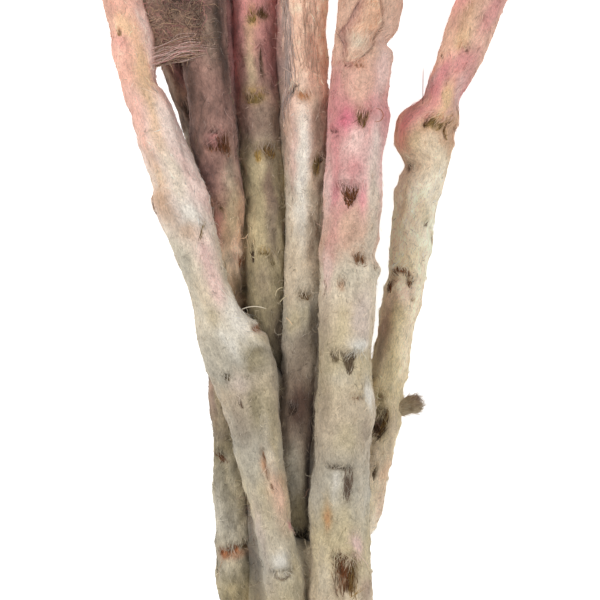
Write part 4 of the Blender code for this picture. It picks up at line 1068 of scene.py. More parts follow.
def laid_hairs(name, draw, y, turn, long, lift, width, stations, curl, swing):
    """Hairs along the sleeve from places on it: each heads along the stem, off by a slow noise and by a
    draw, bends at a steady rate, and rises from just under the surface to its lift."""
    count = len(y)
    start = middle_line(name, y)
    place = np.stack([4.0 * np.cos(turn), start[:, 1], 4.0 * np.sin(turn)], axis=-1)
    heading = 1.1 * smooth_noise(place / 3.4, int(name[-1]) + 80) + draw.normal(0.0, swing, count)
    heading = heading + np.where(draw.random(count) < 0.5, math.pi, 0.0)
    t = np.linspace(0.0, 1.0, stations)
    angle = heading[:, None] + draw.normal(0.0, curl, count)[:, None] * (t - 0.3)
    step = long[:, None] / (stations - 1)
    run = np.concatenate([np.zeros((count, 1)), np.cumsum(np.cos(angle) * step, axis=1)[:, :-1]], axis=1)
    round_run = np.concatenate(
        [np.zeros((count, 1)), np.cumsum(np.sin(angle) * step, axis=1)[:, :-1]], axis=1
    )
    along_y = np.clip(y[:, None] + run, foot_y(name) + 0.9, neck_y(name) - 0.1)
    turns = turn[:, None] + round_run / girth(name, y)[:, None]
    height = -0.08 + lift[:, None] * t**1.4
    paths, out = on_sleeve(name, along_y, turns, height)
    # Hairs paler than the wool under them: partly their own tone, partly painted highlight.
    colour = paler_with_highlight(between_rings(name, "colour", y, turn), draw, 0.0, 1.0)
    darker = draw.random(count) < 0.36
    colour = np.where(darker[:, None], colour * draw.uniform(0.45, 0.8, (count, 1)), colour)
    swing_tone = 1.0 + 0.12 * (WOOL_CONTRAST[name] - 1.0) * draw.normal(0.0, 1.5, (count, 1))
    colour = np.clip(colour * np.clip(swing_tone, 0.5, 1.7), 0.0, 1.0)
    return fibre_arrays(paths, out, width, draw.uniform(-1.2, 1.2, count), colour)


def ring_hairs(rings, colour, draw, count, long, lift, width):
    """Short hairs over a piece made of rings: each lies towards the piece's tip, off by a draw, and lifts
    off it."""
    i, j = draw.integers(0, rings.shape[0] - 2, count), draw.integers(0, rings.shape[1], count)
    ahead = unit(rings[i + 1, j] - rings[i, j])[:, None]
    away = unit(rings[i, j] - rings.mean(axis=1)[i])[:, None]
    t = np.linspace(0.0, 1.0, 3)[None, :, None]
    run = draw.uniform(*long, (count, 1, 1)) * t * (ahead + draw.normal(0.0, 0.3, (count, 1, 3)))
    rise = away * (np.abs(draw.normal(lift, 1.6 * lift, (count, 1, 1))) * t - 0.05)
    paths = rings[i, j][:, None] + run + rise
    tone = paler_with_highlight(np.clip(colour[i, j], 0, 1), draw, 0.1, 0.9)
    outward = np.broadcast_to(away, paths.shape)
    return fibre_arrays(paths, outward, draw.uniform(*width, count), draw.uniform(-1, 1, count), tone)


wool_hair = felt_material("wool_hair", 0.1, 0.0, 0.9, 0.15)


def make_loose_wool(name):
    draw = np.random.default_rng(100 + int(name[-1]))
    batches = []
    reaches = (
        (-PHOTO_REACH, PHOTO_REACH, DOWN_IN_PHOTO),
        (foot_y(name) + 1.5, -PHOTO_REACH, DOWN_BEYOND // 5),
        (PHOTO_REACH, neck_y(name) - 0.5, DOWN_BEYOND),
    )
    for low, high, count in reaches:
        y = draw.uniform(low, high, count)
        above = draw.random(count) < 0.72
        turn = np.where(
            above, draw.uniform(-0.35, math.pi + 0.35, count), draw.uniform(math.pi, math.tau, count)
        )
        long = draw.uniform(0.7, 2.2, count)
        lift = np.abs(draw.normal(0.13, 0.20, count))
        width = 0.05 + 0.14 * draw.random(count) ** 2
        batches.append(laid_hairs(name, draw, y, turn, long, lift, width, 3, 1.6, 0.6))
    y = draw.uniform(foot_y(name) + 2.0, neck_y(name) - 1.0, WISPS)
    turn = draw.uniform(0.0, math.tau, WISPS)
    long = draw.uniform(2.5, 5.5, WISPS)
    lift = np.abs(draw.normal(0.35, 0.45, WISPS))
    batches.append(laid_hairs(name, draw, y, turn, long, lift, draw.uniform(0.04, 0.07, WISPS), 5, 0.9, 0.5))
    join_fibres(name + "_down", batches, wool_hair)


for stem_name in STEMS:
    make_loose_wool(stem_name)


def felt_bridge(first, second, low, high, turn_first, turn_second, dip, dark, seed, dive=1.0):
    """Wool felted across the valley between two stems: points straight from one to the other that dip in a
    half wave and dive at its ends, with lumps of noise, coloured as the stems at its sides, with painted
    shade that makes it darker and browner between them and at its ends."""
    low = np.broadcast_to(np.asarray(low, float), 13)
    rows = max(3, int((high - low.min()) / 0.6))
    v = np.linspace(0.0, 1.0, rows)[:, None]
    y = low[None, :] + v * (high - low[None, :])
    t = np.broadcast_to(np.linspace(0.0, 1.0, 13)[None, :], y.shape)
    start, _ = on_sleeve(first, y, np.full(y.shape, turn_first), -0.15)
    end, _ = on_sleeve(second, y, np.full(y.shape, turn_second), -0.15)
    mid = start * (1 - t[..., None]) + end * t[..., None]
    lumps = 0.5 * smooth_noise(mid / 1.9, seed) + 0.3 * smooth_noise(mid / 0.8, seed + 1)
    ends = np.exp(-(((y - low) / 0.9) ** 2)) + np.exp(-(((y - high) / 0.9) ** 2))
    sink = dip * np.sin(math.pi * t) - lumps * np.sin(math.pi * t) ** 0.5 + 1.6 * ends * dive
    top = mid - sink[..., None] * np.array([0.0, 0.0, 1.0])
    top[..., 2] = np.maximum(top[..., 2], 1.2)
    own = between_rings(first, "colour", y, np.full(y.shape, turn_first)) * (1 - t[..., None])
    own = own + between_rings(second, "colour", y, np.full(y.shape, turn_second)) * t[..., None]
    mottle = 1.0 + 0.25 * smooth_noise(mid / 1.1, seed + 2) + 0.25 * smooth_noise(mid / 0.5, seed + 3)
    # Painted shade of the valley: darker and browner between the stems, and at the ends.
    shade = 1.0 - (1.0 - dark) * (np.sin(math.pi * t) ** 0.7)[..., None] * np.array([1.0, 1.07, 1.16])
    shade = shade * (1.0 - 0.6 * dive * ends[..., None])
    return top, np.clip(own * shade * mottle[..., None], 0, 1), y


def bridge_shell(top, colour, y):
    """The bridge as a closed thin sheet: its upper side, and a lower side 0.5 mm under it, as rings across
    it. The lower side is painted darker, as shade."""
    below = top - np.array([0.0, 0.0, 0.5])
    rings = np.concatenate([top, below[:, ::-1]], axis=1)[:, ::-1]
    # Painted shade: the lower side darker than the upper.
    both = np.concatenate([colour, colour[:, ::-1] * 0.7], axis=1)[:, ::-1]
    return rings, both, rings * np.array([1.6, 1.6, 0.6])


def curly_hairs(starts, outward, colour, long, curl, lift, width, draw):
    """Hairs that wander: their heading over the surface turns at a drawn rate and swings once, while they
    rise off it and come back in a half wave."""
    count = len(starts)
    across_it = unit(np.cross(outward, np.array([0.0, 1.0, 0.0])))
    ahead = np.cross(across_it, outward)
    t = np.linspace(0.0, 1.0, 9)
    angle = draw.uniform(0, math.tau, (count, 1)) + draw.normal(0, curl, (count, 1)) * t
    angle = angle + draw.normal(0, 0.8, (count, 1)) * np.sin(math.tau * (t + draw.random((count, 1))))
    step = (long / 8.0)[:, None, None]
    run = (np.cos(angle)[..., None] * ahead[:, None] + np.sin(angle)[..., None] * across_it[:, None]) * step
    paths = starts[:, None] + np.cumsum(run, axis=1) - run[:, :1]
    rise = lift[:, None] * np.sin(math.pi * t)
    paths = paths + rise[..., None] * outward[:, None]
    return fibre_arrays(
        paths, np.broadcast_to(outward[:, None], paths.shape), width, draw.uniform(-1, 1, count), colour
    )


def hairs_on_sheet(top, colour, draw, count, long, curl, dyes, share):
    """Curly hairs rooted at drawn places on a sheet, some of the sheet's colour with its painted shade and
    some of other dyes."""
    i, j = draw.integers(0, top.shape[0], count), draw.integers(1, top.shape[1] - 1, count)
    other = np.array([DYES[d] for d in dyes])[draw.integers(0, len(dyes), count)]
    mix = np.where(draw.random((count, 1)) < share, other, np.clip(colour[i, j] * 1.2, 0, 1))
    mix = np.clip(mix * draw.uniform(0.7, 1.2, (count, 1)), 0, 1)
    outward = np.broadcast_to(np.array([0.0, 0.0, 1.0]), (count, 3))
    starts = top[i, j] + np.array([0.0, 0.0, 0.1])
    lift = np.abs(draw.normal(0.2, 0.35, count))
    return curly_hairs(
        starts, outward, mix, draw.uniform(*long, count), curl, lift, draw.uniform(0.04, 0.09, count), draw
    )


# Pairs of stems felted together: from, to, lowest and highest y, turn on each, dip, tone of the painted
# shade in the middle, hairs
BRIDGES = (
    ("stem_2", "stem_3", 22.0, 60.0, 1.2, 2.3, 0.1, 0.95, 220),
    ("stem_3", "stem_4", -2.0, 60.0, 0.6, 2.85, 0.9, 0.7, 260),
    ("stem_4", "stem_5", -44.0, 60.0, 0.35, 2.8, 0.3, 0.85, 240),
    ("stem_5", "stem_6", -55.0, 21.0, 0.7, 2.8, 0.9, 0.4, 200),
    ("stem_1", "stem_4", -18.0, -3.0, 0.0, 2.3, 0.8, 0.6, 100),
    ("stem_1", "stem_5", -54.0, -14.0, 0.0, 2.3, 1.2, 0.4, 190),
    ("stem_6", "stem_7", -57.0, -14.0, 0.0, 2.4, 0.8, 0.6, 150),
    ("stem_3", "stem_1", -57.0, -10.0, 0.7, 2.9, 0.4, 0.45, 200),
    ("stem_1", "stem_6", -60.0, -43.0, 0.2, 2.9, 0.9, 0.8, 120),
)


def make_felted_seams():
    draw = np.random.default_rng(7)
    shells, hairs = [], []
    for number, (first, second, low, high, turn_first, turn_second, dip, dark, count) in enumerate(BRIDGES):
        top, colour, y = felt_bridge(
            first, second, low, high, turn_first, turn_second, dip, dark, 200 + 5 * number
        )
        shells.append(bridge_shell(top, colour, y))
        hairs.append(
            hairs_on_sheet(top, colour, draw, count, (1.0, 3.0), 1.2, ("taupe", "olive", "mauve"), 0.2)
        )
    return shells, hairs


def make_torn_lock(shells, hairs):
    """Lock of torn wool strung from the first stem to the dark ones behind it: a lumpy sheet with an arched
    lower edge, tangled hairs over it, and a few drawn out along the edge."""
    draw = np.random.default_rng(8)
    edge = 40.7 + 4.4 * np.linspace(0.0, 1.0, 13) ** 0.6
    top, colour, y = felt_bridge("stem_1", "stem_3", edge, 62.0, 0.1, 1.45, -0.3, 0.8, 260, 0.0)
    top[:, -3:, 2] += np.array([0.25, 0.35, 0.1])
    cloud = smooth_noise(top / 2.6, 266)[..., None]
    dark = np.clip(0.45 + 0.5 * cloud, 0.0, 1.0)
    felt = (DYES["mauve"] * 0.75 + DYES["taupe"] * 0.7) * (1 - dark) + DYES["umber"] * 1.5 * dark
    pale = np.exp(-(((top[..., :1] + 22.5) / 2.6) ** 2) - ((y[..., None] - 47.0) / 2.4) ** 2)
    felt = felt * (1 - 0.6 * pale) + DYES["tan"] * 0.9 * pale * 0.6
    felt = felt * (1.0 + 0.35 * smooth_noise(top / 0.6, 267)[..., None])
    # Painted shade of a hollow in the lock: a darker spot, with no dent in the sheet.
    painted_hollow_shade = np.exp(-(((top[..., :1] + 21.5) / 2.4) ** 2) - ((y[..., None] - 53.5) / 2.4) ** 2)
    felt = np.clip(felt * (1 - 0.7 * painted_hollow_shade), 0, 1)
    shells.append(bridge_shell(top, felt, y))
    hairs.append(
        hairs_on_sheet(
            top, felt, draw, 1800, (1.2, 4.5), 2.2, ("mauve", "taupe", "umber", "tan", "dusty"), 0.75
        )
    )
    count = 110
    t = np.linspace(0.0, 1.0, 9)[None, :, None]
    y0 = draw.uniform(40.8, 44.2, count)
    start, _ = on_sleeve("stem_1", y0, draw.uniform(-0.1, 0.7, count), 0.0)
    end, _ = on_sleeve("stem_3", y0 + draw.normal(2.6, 0.6, count), draw.uniform(0.9, 2.2, count), 0.2)
    paths = start[:, None] * (1 - t) + end[:, None] * t
    paths = paths + np.sin(math.pi * t) * np.array([0.0, 0.5, 0.6]) * draw.normal(1.0, 0.5, (count, 1, 1))
    paths = paths + np.sin(math.tau * t * 1.5 + draw.uniform(0, 6, (count, 1, 1))) * draw.normal(
        0, 0.2, (count, 1, 3)
    )
    tone = np.array([DYES[d] for d in ("dusty", "tan", "blush", "taupe")])[draw.integers(0, 4, count)]
    tone = np.clip(tone * draw.uniform(0.8, 1.15, (count, 1)), 0, 1)
    outward = np.broadcast_to(np.array([0.0, 0.0, 1.0]), paths.shape)
    hairs.append(
        fibre_arrays(paths, outward, draw.uniform(0.04, 0.09, count), draw.uniform(-1, 1, count), tone)
    )


def make_stray_hairs(hairs):
    """Pale stiff hairs that lie over the bunch, bowed, and the dark one beside the right-hand stem."""
    draw = np.random.default_rng(9)
    for x, y, long, heading, bow, dye in (
        (-10.8, -1.9, 4.6, 28, -50, "cream"), (-4.2, 0.4, 2.4, 110, -110, "straw"),
        (-2.7, -3.0, 1.8, -35, -25, "peach"), (-1.8, 1.0, 2.2, 200, 40, "straw"),
        (22.2, 34.6, 6.6, 91, -3, "umber"), (13.0, 33.9, 4.4, 20, -215, "rust"),
    ):
        over = [n for n in STEMS if abs(float(across(n, y)) - x) < float(radius(n, y)) + 1.5]
        level = max(float(middle_line(n, y)[2] + radius(n, y)) for n in over) + 0.7 if over else 12.0
        t = np.linspace(0.0, 1.0, 9)
        angle = math.radians(heading) + math.radians(bow) * t
        run = np.stack([np.cos(angle), np.sin(angle), 0.25 * np.cos(math.pi * t)], axis=-1) * long / 8.0
        paths = (np.array([x, y, level]) + np.cumsum(run, axis=0))[None]
        outward = np.broadcast_to(np.array([0.0, 0.0, 1.0]), paths.shape)
        hairs.append(fibre_arrays(paths, outward, np.array([0.13]), np.zeros(1), DYES[dye][None]))


def make_drawn_edges(hairs):
    """Silvery hairs drawn out straight along the torn edges of the two middle stems' wool, as lines of (x,
    y) that they follow: along stem_4's left edge, and down stem_5's left side."""
    draw = np.random.default_rng(10)
    for stem, dye, count, line, spread in (
        ("stem_4", "silver", 110, ((-13.2, 46.5), (-12.9, 43.0), (-12.2, 37.0)), 0.22),
        ("stem_5", "silver", 260, ((-2.7, 58.0), (-2.4, 45.0), (-1.4, 38.0), (-2.6, 34.0)), 0.6),
        ("stem_5", "flesh", 160, ((1.0, 60.0), (1.6, 48.0), (2.0, 41.0)), 1.2),
    ):
        keys = sorted((y, x) for x, y in line)
        y0 = draw.uniform(keys[0][0], keys[-1][0], count)
        t = np.linspace(-0.5, 0.5, 5)[None, :]
        y = y0[:, None] + draw.uniform(2.0, 6.0, count)[:, None] * t
        x = np.interp(y, [k[0] for k in keys], [k[1] for k in keys]) + draw.normal(0, spread, count)[:, None]
        x = x + draw.normal(0.0, 0.25, (count, 1)) * t * 2.0
        offset = x - middle_line(stem, y)[..., 0]
        turn = np.arccos(np.clip(offset / girth(stem, y), -0.95, 0.95))
        paths, out = on_sleeve(stem, y, turn, draw.uniform(0.05, 0.35, count)[:, None] * (1 - 2 * t**2))
        tone = np.clip(DYES[dye] * draw.uniform(0.5, 1.05, (count, 1)), 0, 1)
        hairs.append(
            fibre_arrays(paths, out, draw.uniform(0.04, 0.10, count), draw.uniform(-0.8, 0.8, count), tone)
        )


def make_felted_wool():
    shells, hairs = make_felted_seams()
    make_torn_lock(shells, hairs)
    make_stray_hairs(hairs)
    make_drawn_edges(hairs)
    join_rings("felted_seams", shells, stem_felt)
    join_fibres("seam_hairs", hairs, wool_hair)


make_felted_wool()

# Torn fibres in the scars. Each pulled leaf left a nick with its broken ribs in it: stiff brown strands
# side by side, dark at the root and golden where they are frayed, held in the wood under the wool.


def scar_fibres(name, scar, draw):
    """Ribs of one scar: side by side over its width, which narrows towards its foot, running along the stem
    from a root in the pit to a frayed end that stands proud, their middles shifted up into an arch, and
    missing in tufts."""
    at, centre, wide, tall, slant, narrowing, arch, deep, pale = scar
    count = int(np.clip(5 + wide * tall * 14.0, 10, 230))
    t = draw.uniform(-1.05, 1.05, count)
    s = np.linspace(0.0, 1.0, 4)[None, :]
    long = np.minimum(tall * draw.uniform(0.2, 0.7, count), 2.6)[:, None]
    v = (s - 0.5) * long + draw.uniform(-0.55, 0.55, count)[:, None] * (1.1 * tall - long)
    half = wide / 2 * (1.0 - narrowing * np.clip(0.5 - v / tall, 0.0, 1.0))
    rounding = np.sqrt(np.clip(1.0 - 0.6 * (2 * v / tall) ** 4, 0.1, 1.0))
    unruly = np.where(draw.random(count) < 0.25, 20.0, 8.0) * min(1.0, wide / 1.6)
    lean = math.tan(math.radians(slant)) * v
    own_lean = np.tan(np.radians(draw.normal(0, 1.0, count) * unruly))[:, None] * (s - 0.5) * long
    u = t[:, None] * half * rounding + lean + own_lean + draw.normal(0, 0.04, (count, 4))
    y = at + v + arch * (1.0 - t[:, None] ** 2)
    turn = centre + u / girth(name, np.full_like(u, at))
    rise = -0.3 + draw.uniform(0.0, 0.7, count)[:, None] * s**1.5 + draw.uniform(0.0, 0.35, count)[:, None]
    paths, out = on_sleeve(name, y, turn, rise)
    tuft = smooth_noise(np.stack([t * wide, v[:, 1], np.full(count, at)], axis=-1) / 0.55, 90)
    keep = tuft < draw.uniform(0.0, 0.6, count)
    share = (draw.random((count, 1)) ** 1.4) * np.clip(0.6 - tuft[:, None], 0.2, 1.2)
    colour = (DYES[deep] * (1 - share) + DYES[pale] * share) * draw.uniform(0.6, 1.25, (count, 1))
    width = draw.uniform(0.05, 0.14, count)
    roll = draw.uniform(-0.9, 0.9, count)
    return fibre_arrays(paths[keep], out[keep], width[keep], roll[keep], np.clip(colour[keep], 0, 1))


def lip_hairs(name, scar, draw):
    """Wool that hangs over a scar from its upper lip and in from its sides, in the wool's colour made paler,
    partly with painted highlight.
    """
    at, centre, wide, tall, slant, narrowing, arch, deep, pale = scar
    count = int(np.clip(14 * wide, 12, 70))
    side = draw.uniform(-1.2, 1.2, count)
    u = side * wide / 2
    y = at + tall / 2 + arch * (1 - side**2) + draw.uniform(0.1, 1.1, count)
    t = np.linspace(0.0, 1.0, 4)[None, :]
    long = draw.uniform(0.5, 0.45 * tall + 1.2, count)[:, None]
    heading = draw.normal(0.0, 0.45, count)[:, None]
    along_y = y[:, None] - np.cos(heading) * long * t
    turn = centre + (u[:, None] + np.sin(heading) * long * t) / girth(name, np.full((count, 4), at))
    paths, out = on_sleeve(
        name, along_y, turn, 0.05 + draw.uniform(0.1, 0.5, count)[:, None] * np.sin(t * 2.2)
    )
    colour = paler_with_highlight(between_rings(name, "colour", y + 0.8, centre + u / girth(name, y)), draw, 0.0, 0.8)
    return fibre_arrays(paths, out, draw.uniform(0.05, 0.12, count), draw.uniform(-1, 1, count), colour)


scar_bark = felt_material("scar_bark", 0.5, 0.3, 0.75, 0.0)
for stem_name in STEMS:
    scar_draw = np.random.default_rng(300 + int(stem_name[-1]))
    ribs = [scar_fibres(stem_name, scar, scar_draw) for scar in scars_of(stem_name)]
    join_fibres(stem_name + "_scars", ribs, scar_bark)
    lips = [lip_hairs(stem_name, scar, scar_draw) for scar in scars_of(stem_name)]
    join_fibres(stem_name + "_scar_wool", lips, wool_hair)

# Pressed leaf. One thick woolly leaf is still pressed flat against the front stem at the top of the
# stripped stretch: it grew from the stem, points up it, and has taken more yellow dye along its middle than
# the wool round it.


def make_pressed_leaf():
    """Leaf on the sleeve: its outline a rounded base and two nearly straight sides, its back a half round
    that stands a millimetre off the stem, its rim sunk in the stem's wool."""
    low, high, half_wide = place_of_mark("stem_6", 42.8, -1.8)[0], 54.8, 3.0
    rows, around = 46, 26
    v = np.linspace(0.004, 0.996, rows)[:, None]
    a = np.arange(around) * math.tau / around
    u = np.cos(a)[None, :]
    half = half_wide * np.minimum(np.clip(v * 3.4, 0, 1) ** 0.38, np.clip((1 - v) * 2.4, 0, 1) ** 0.5)
    y = np.broadcast_to(low + v * (high - low), (rows, around))
    lean = -2.0 + 1.9 * np.clip(v / 0.5, 0, 1)
    girths = girth("stem_6", y)
    turn = np.arccos(np.clip(lean / girths, -0.9, 0.9)) - u * half / girths
    back = np.broadcast_to(
        np.where(np.sin(a) > 0, 1.05, -0.5) * np.sqrt(np.clip(1 - np.cos(a) ** 2, 0, 1)), y.shape
    )
    place = np.stack([u * half, y, back], axis=-1)
    lumps = 0.22 * smooth_noise(place / 1.5, 21) + 0.12 * smooth_noise(place / 0.7, 22)
    rings, out = on_sleeve("stem_6", y, turn, -0.12 + back * np.clip(half / 2.2, 0, 1) + lumps * (back > 0.3))
    middle = np.exp(-(((u * half - 0.6) / 1.7) ** 2))[..., None] * np.clip((v - 0.32) / 0.14, 0, 1)[..., None]
    foot = np.exp(-(((v - 0.26) / 0.10) ** 2 + ((u * half - 0.3) / 1.2) ** 2))[..., None]
    left = np.clip((-u * half - 0.3) / 1.6, 0, 1)[..., None]
    colour = DYES["flesh"] * (1 - left) + (DYES["dusty"] + DYES["flesh"]) * 0.45 * left
    colour = colour * (1 - 0.85 * middle) + (DYES["peach"] + DYES["salmon"]) * 0.43 * middle
    colour = colour * (1 - 0.7 * foot) + DYES["cream"] * 0.7 * foot
    rim = np.clip((np.abs(u) - 0.75) / 0.25, 0, 1)[..., None]
    colour = colour * (1 - 0.4 * rim) * (1.0 + 0.2 * smooth_noise(place / 0.8, 23)[..., None])
    grain = np.stack([u * half, 0 * y, y], axis=-1) * 1.4
    colour = np.clip(np.broadcast_to(colour, rings.shape), 0, 1)
    shape = (rings[:, ::-1], colour[:, ::-1], grain[:, ::-1])
    join_rings("pressed_leaf", [shape], stem_felt)
    batch = ring_hairs(rings, colour, np.random.default_rng(24), 1700, (0.8, 2.4), 0.1, (0.05, 0.14))
    join_fibres("pressed_leaf_down", [batch], wool_hair)


make_pressed_leaf()

# Torn leaf stub. On the right-hand stem one leaf broke off past its base: a short woolly horn that grows
# out of the stem, bends towards the heads and ends in a bare brown tip. It carries the stem's own wool.
HOOK = [(14.6, -20.7, 1.6), (17.2, -19.8, 1.35), (19.4, -19.3, 1.5), (21.0, -18.9, 1.6), (21.9, -18.7, 1.25)]


def sweep_frames(path, reference):
    """Direction along a path, and two directions across it, the first square to a reference direction."""
    along = unit(np.gradient(path, axis=0))
    side = unit(np.cross(along, reference))
    return along, side, np.cross(side, along)


def make_hook():
    draw = np.random.default_rng(41)
    keys = np.array(HOOK)
    s = np.linspace(0.0, len(HOOK) - 1.0, 60)
    flat = np.stack([curve_through(list(enumerate(keys[:, c])), s) for c in range(3)], axis=-1)
    level = float(np.interp(HOOK[0][1], *HEIGHTS["stem_7"]))
    path = np.stack([flat[:, 0], flat[:, 1], np.full(60, level)], axis=-1)
    turn = np.arange(40) * math.tau / 40
    along, side, up = sweep_frames(path, np.array([0.0, 0.0, 1.0]))
    out = np.cos(turn)[None, :, None] * side[:, None] + np.sin(turn)[None, :, None] * up[:, None]
    plain = path[:, None] + flat[:, None, 2:3] * out
    relief = 0.22 * smooth_noise(plain / 1.1, 5) + 0.12 * smooth_noise(plain / 0.5, 6)
    closing = np.sqrt(np.clip((s[-1] - s) / 0.25, 0.02, 1.0))
    reach = flat[:, None, 2] * closing[:, None] + relief * closing[:, None]
    rings = path[:, None] + reach[..., None] * out
    tip = np.clip((s[:, None, None] - 1.6) / 1.9 + 0.6 * smooth_noise(plain / 0.6, 8)[..., None], 0.0, 1.0)
    tip = tip * np.clip(0.55 + 0.6 * out[..., 1:2], 0.15, 1.0)
    colour = (DYES["khaki"] + DYES["taupe"]) * 0.55 * (1 - tip) + (DYES["umber"] + DYES["tan"]) * 0.4 * tip
    colour = colour * (1.0 + 0.2 * smooth_noise(plain / 0.6, 9)[..., None])
    grain = np.stack(
        np.broadcast_arrays(2 * np.cos(turn)[None], 2 * np.sin(turn)[None], 3.0 * s[:, None]), axis=-1
    )
    join_rings("leaf_stub", [(rings, colour, grain)], stem_felt)
    batch = ring_hairs(rings, colour, draw, 900, (0.6, 1.8), 0.2, (0.05, 0.1))
    join_fibres("leaf_stub_down", [batch], wool_hair)


make_hook()

# Felted leaves. Above the stripped stretch each stem keeps its leaves: narrow blades, pressed up against
# it, folded along the midrib and felted on both faces, which grew from it in a spiral. Those with no room
# are short or gone.
LEAF_SPACING = 6.5
LEAF_RISE = 60.0
LEAF_BEND = -16.0
LEAF_FOLD = 0.25
# Share of its full length that each leaf has, from the neck down, and none where it was pulled off
LEAF_SHARES = {
    "stem_1": (1, 1, 1, 1, 0, 1, 0, 1, 1),
    "stem_2": (1, 1, 1, 1, 0.55, 1, 0.55, 1, 1, 0.55, 0.75, 0.55, 0, 1, 0.55, 0),
    "stem_3": (1, 1, 0.75, 1, 0, 0.55, 0.55, 0.55, 1, 0),
    "stem_4": (1, 1, 1, 1, 0, 1, 1, 0.55, 1, 0, 0.55, 0.55, 0, 1, 0.55, 0, 0.55, 0, 0),
    "stem_5": (1, 0.75, 0.55, 1, 0, 0, 0.55, 0),
    "stem_6": (1, 0.75, 1, 1, 0, 1, 0.75, 0.55, 1, 0, 1, 1, 0),
    "stem_7": (1, 1, 1, 1, 0, 1, 1, 0.55, 1),
}


def frame_at(point, axis, spin=0.0):
    """Matrix that stands a piece modelled along +Z at a point, facing along an axis."""
    turn = axis.to_track_quat("Z", "Y").to_matrix().to_4x4()
    return Matrix.Translation(point) @ turn @ Matrix.Rotation(spin, 4, "Z")


def stem_axis(name, y):
    ends = middle_line(name, np.array([y - 1.0, y + 1.0]))
    return Vector(ends[1] - ends[0]).normalized()


def moved(matrix, points):
    """Points through a matrix."""
    m = np.array(matrix)
    return points @ m[:3, :3].T + m[:3, 3]


def blade_rings(length, width, thick, bend, outline, fold, cup, rows, around, wave):
    """Rings of a pointed blade along +Y that bends by a steady turn towards +Z. Each ring is a thin lens:
    its middle follows the fold, in proportion to the distance from the midrib, and the cup, in proportion
    to its square."""
    s = np.linspace(0.0, 1.0, rows)
    fine = np.linspace(0.0, 1.0, 200)
    angle = math.radians(bend) * fine
    run = np.concatenate([[0.0], np.cumsum(np.cos(angle[:-1]) / 199.0)]) * length
    lift = np.concatenate([[0.0], np.cumsum(np.sin(angle[:-1]) / 199.0)]) * length
    along, up = np.interp(s, fine, run), np.interp(s, fine, lift)
    tilt = math.radians(bend) * s
    share = np.maximum(curve_through([(i / 3.0, v) for i, v in enumerate(outline)], s), 0.04)
    half = (width / 2 * share)[:, None]
    a = np.arange(around) * math.tau / around
    u = np.cos(a)[None, :]
    lens = np.sin(a)[None, :] * (thick / 2) * (0.35 + 0.65 * np.sqrt(np.clip(1 - u**2, 0, 1)))
    rim = wave * np.sin(s * 9.0 + 1.3)[:, None] * u**2 * np.sign(u) * half
    normal = (
        thick / 2 + lens * np.sqrt(np.clip(share, 0.2, 1.0))[:, None]
        + fold * np.abs(u) * half + cup * u**2 * half + rim
    )
    x = u * half
    y = along[:, None] - np.sin(tilt)[:, None] * normal
    z = up[:, None] + np.cos(tilt)[:, None] * normal
    return np.stack([np.broadcast_to(x, y.shape), y, z], axis=-1), s[:, None], np.broadcast_to(u, y.shape)


def make_leaves(name):
    jitter, draw = random.Random(name), np.random.default_rng(500 + int(name[-1]))
    topmost = neck_y(name) - 9.0
    pieces, hairs = [], []
    for i, share in enumerate(LEAF_SHARES[name]):
        y = topmost - LEAF_SPACING * i
        turn = math.radians(137.5) * i + jitter.uniform(-0.25, 0.25)
        if not share:
            continue
        longest = min(25.0, 12.0 + 3.9 * i, (neck_y(name) - y) / 0.92) * share
        matrix = (
            frame_at(Vector(middle_line(name, y)), stem_axis(name, y)) @ Matrix.Rotation(turn, 4, "Z")
            @ Matrix.Translation((0.0, float(radius(name, y)) - 1.1, 0.0))
            @ Matrix.Rotation(math.radians(LEAF_RISE), 4, "X")
        )
        width = 7.6 * (0.5 + 0.5 * longest / 25.0)
        rings, s, u = blade_rings(
            longest, width, 0.95, LEAF_BEND, (0.5, 0.92, 1.0, 0.0), LEAF_FOLD, 0.05, 20, 14, 0.12
        )
        rings = moved(matrix, rings)
        bulge = unit(rings - rings.mean(axis=1, keepdims=True))
        rings = rings + bulge * (
            0.2 * smooth_noise(rings / 1.8, 12) + 0.1 * smooth_noise(rings / 0.8, 13)
        )[..., None]
        base = between_rings(name, "colour", np.full(1, y), np.full(1, turn))[0]
        tipward = np.clip(
            s[..., None] * 1.2 - 0.1 + 0.25 * smooth_noise(rings / 2.5, 14)[..., None], 0.0, 1.0
        )
        colour = base * (1 - tipward) + (0.5 * DYES["rose"] + 0.5 * DYES["hot"]) * tipward
        rib = np.exp(-(u[..., None] / 0.14) ** 2)
        colour = colour * (1 - 0.25 * rib) * (1.0 + 0.22 * smooth_noise(rings / 1.2, 15)[..., None])
        grain = np.stack(np.broadcast_arrays(3.0 * u, 0.6 * i, longest * s), axis=-1)
        pieces.append((rings, colour, grain))
        hairs.append(ring_hairs(rings, colour, draw, int(60 + 6 * longest), (0.8, 2.4), 0.15, (0.06, 0.12)))
    join_rings(name + "_leaves", pieces, stem_felt)
    join_fibres(name + "_leaf_down", hairs, wool_hair)


for stem_name in STEMS:
    make_leaves(stem_name)

# Open heads. At each neck a woolly cup carries ring on ring of bracts, thin and papery, which grew lapped
# over each other and opened out flat at the edge. They took the dye unevenly and are deeper towards their
# tips.
OUTER_BRACTS, MIDDLE_BRACTS = (11, 2.9, 2.8, 17.6, 5.0, 28, -30), (11, 3.9, 3.9, 15.2, 4.8, 46, -18)
INNER_BRACTS = (8, 4.7, 4.3, 12.4, 4.2, 65, -8)
BRACT_OUTLINE = (0.34, 1.0, 0.74, 0.0)
OPEN_STEMS, BUD_STEMS = ("stem_1", "stem_2", "stem_4", "stem_6", "stem_7"), ("stem_3", "stem_5")
BRACT_DYES = ((230, 150, 158), (214, 116, 136), (236, 174, 166))


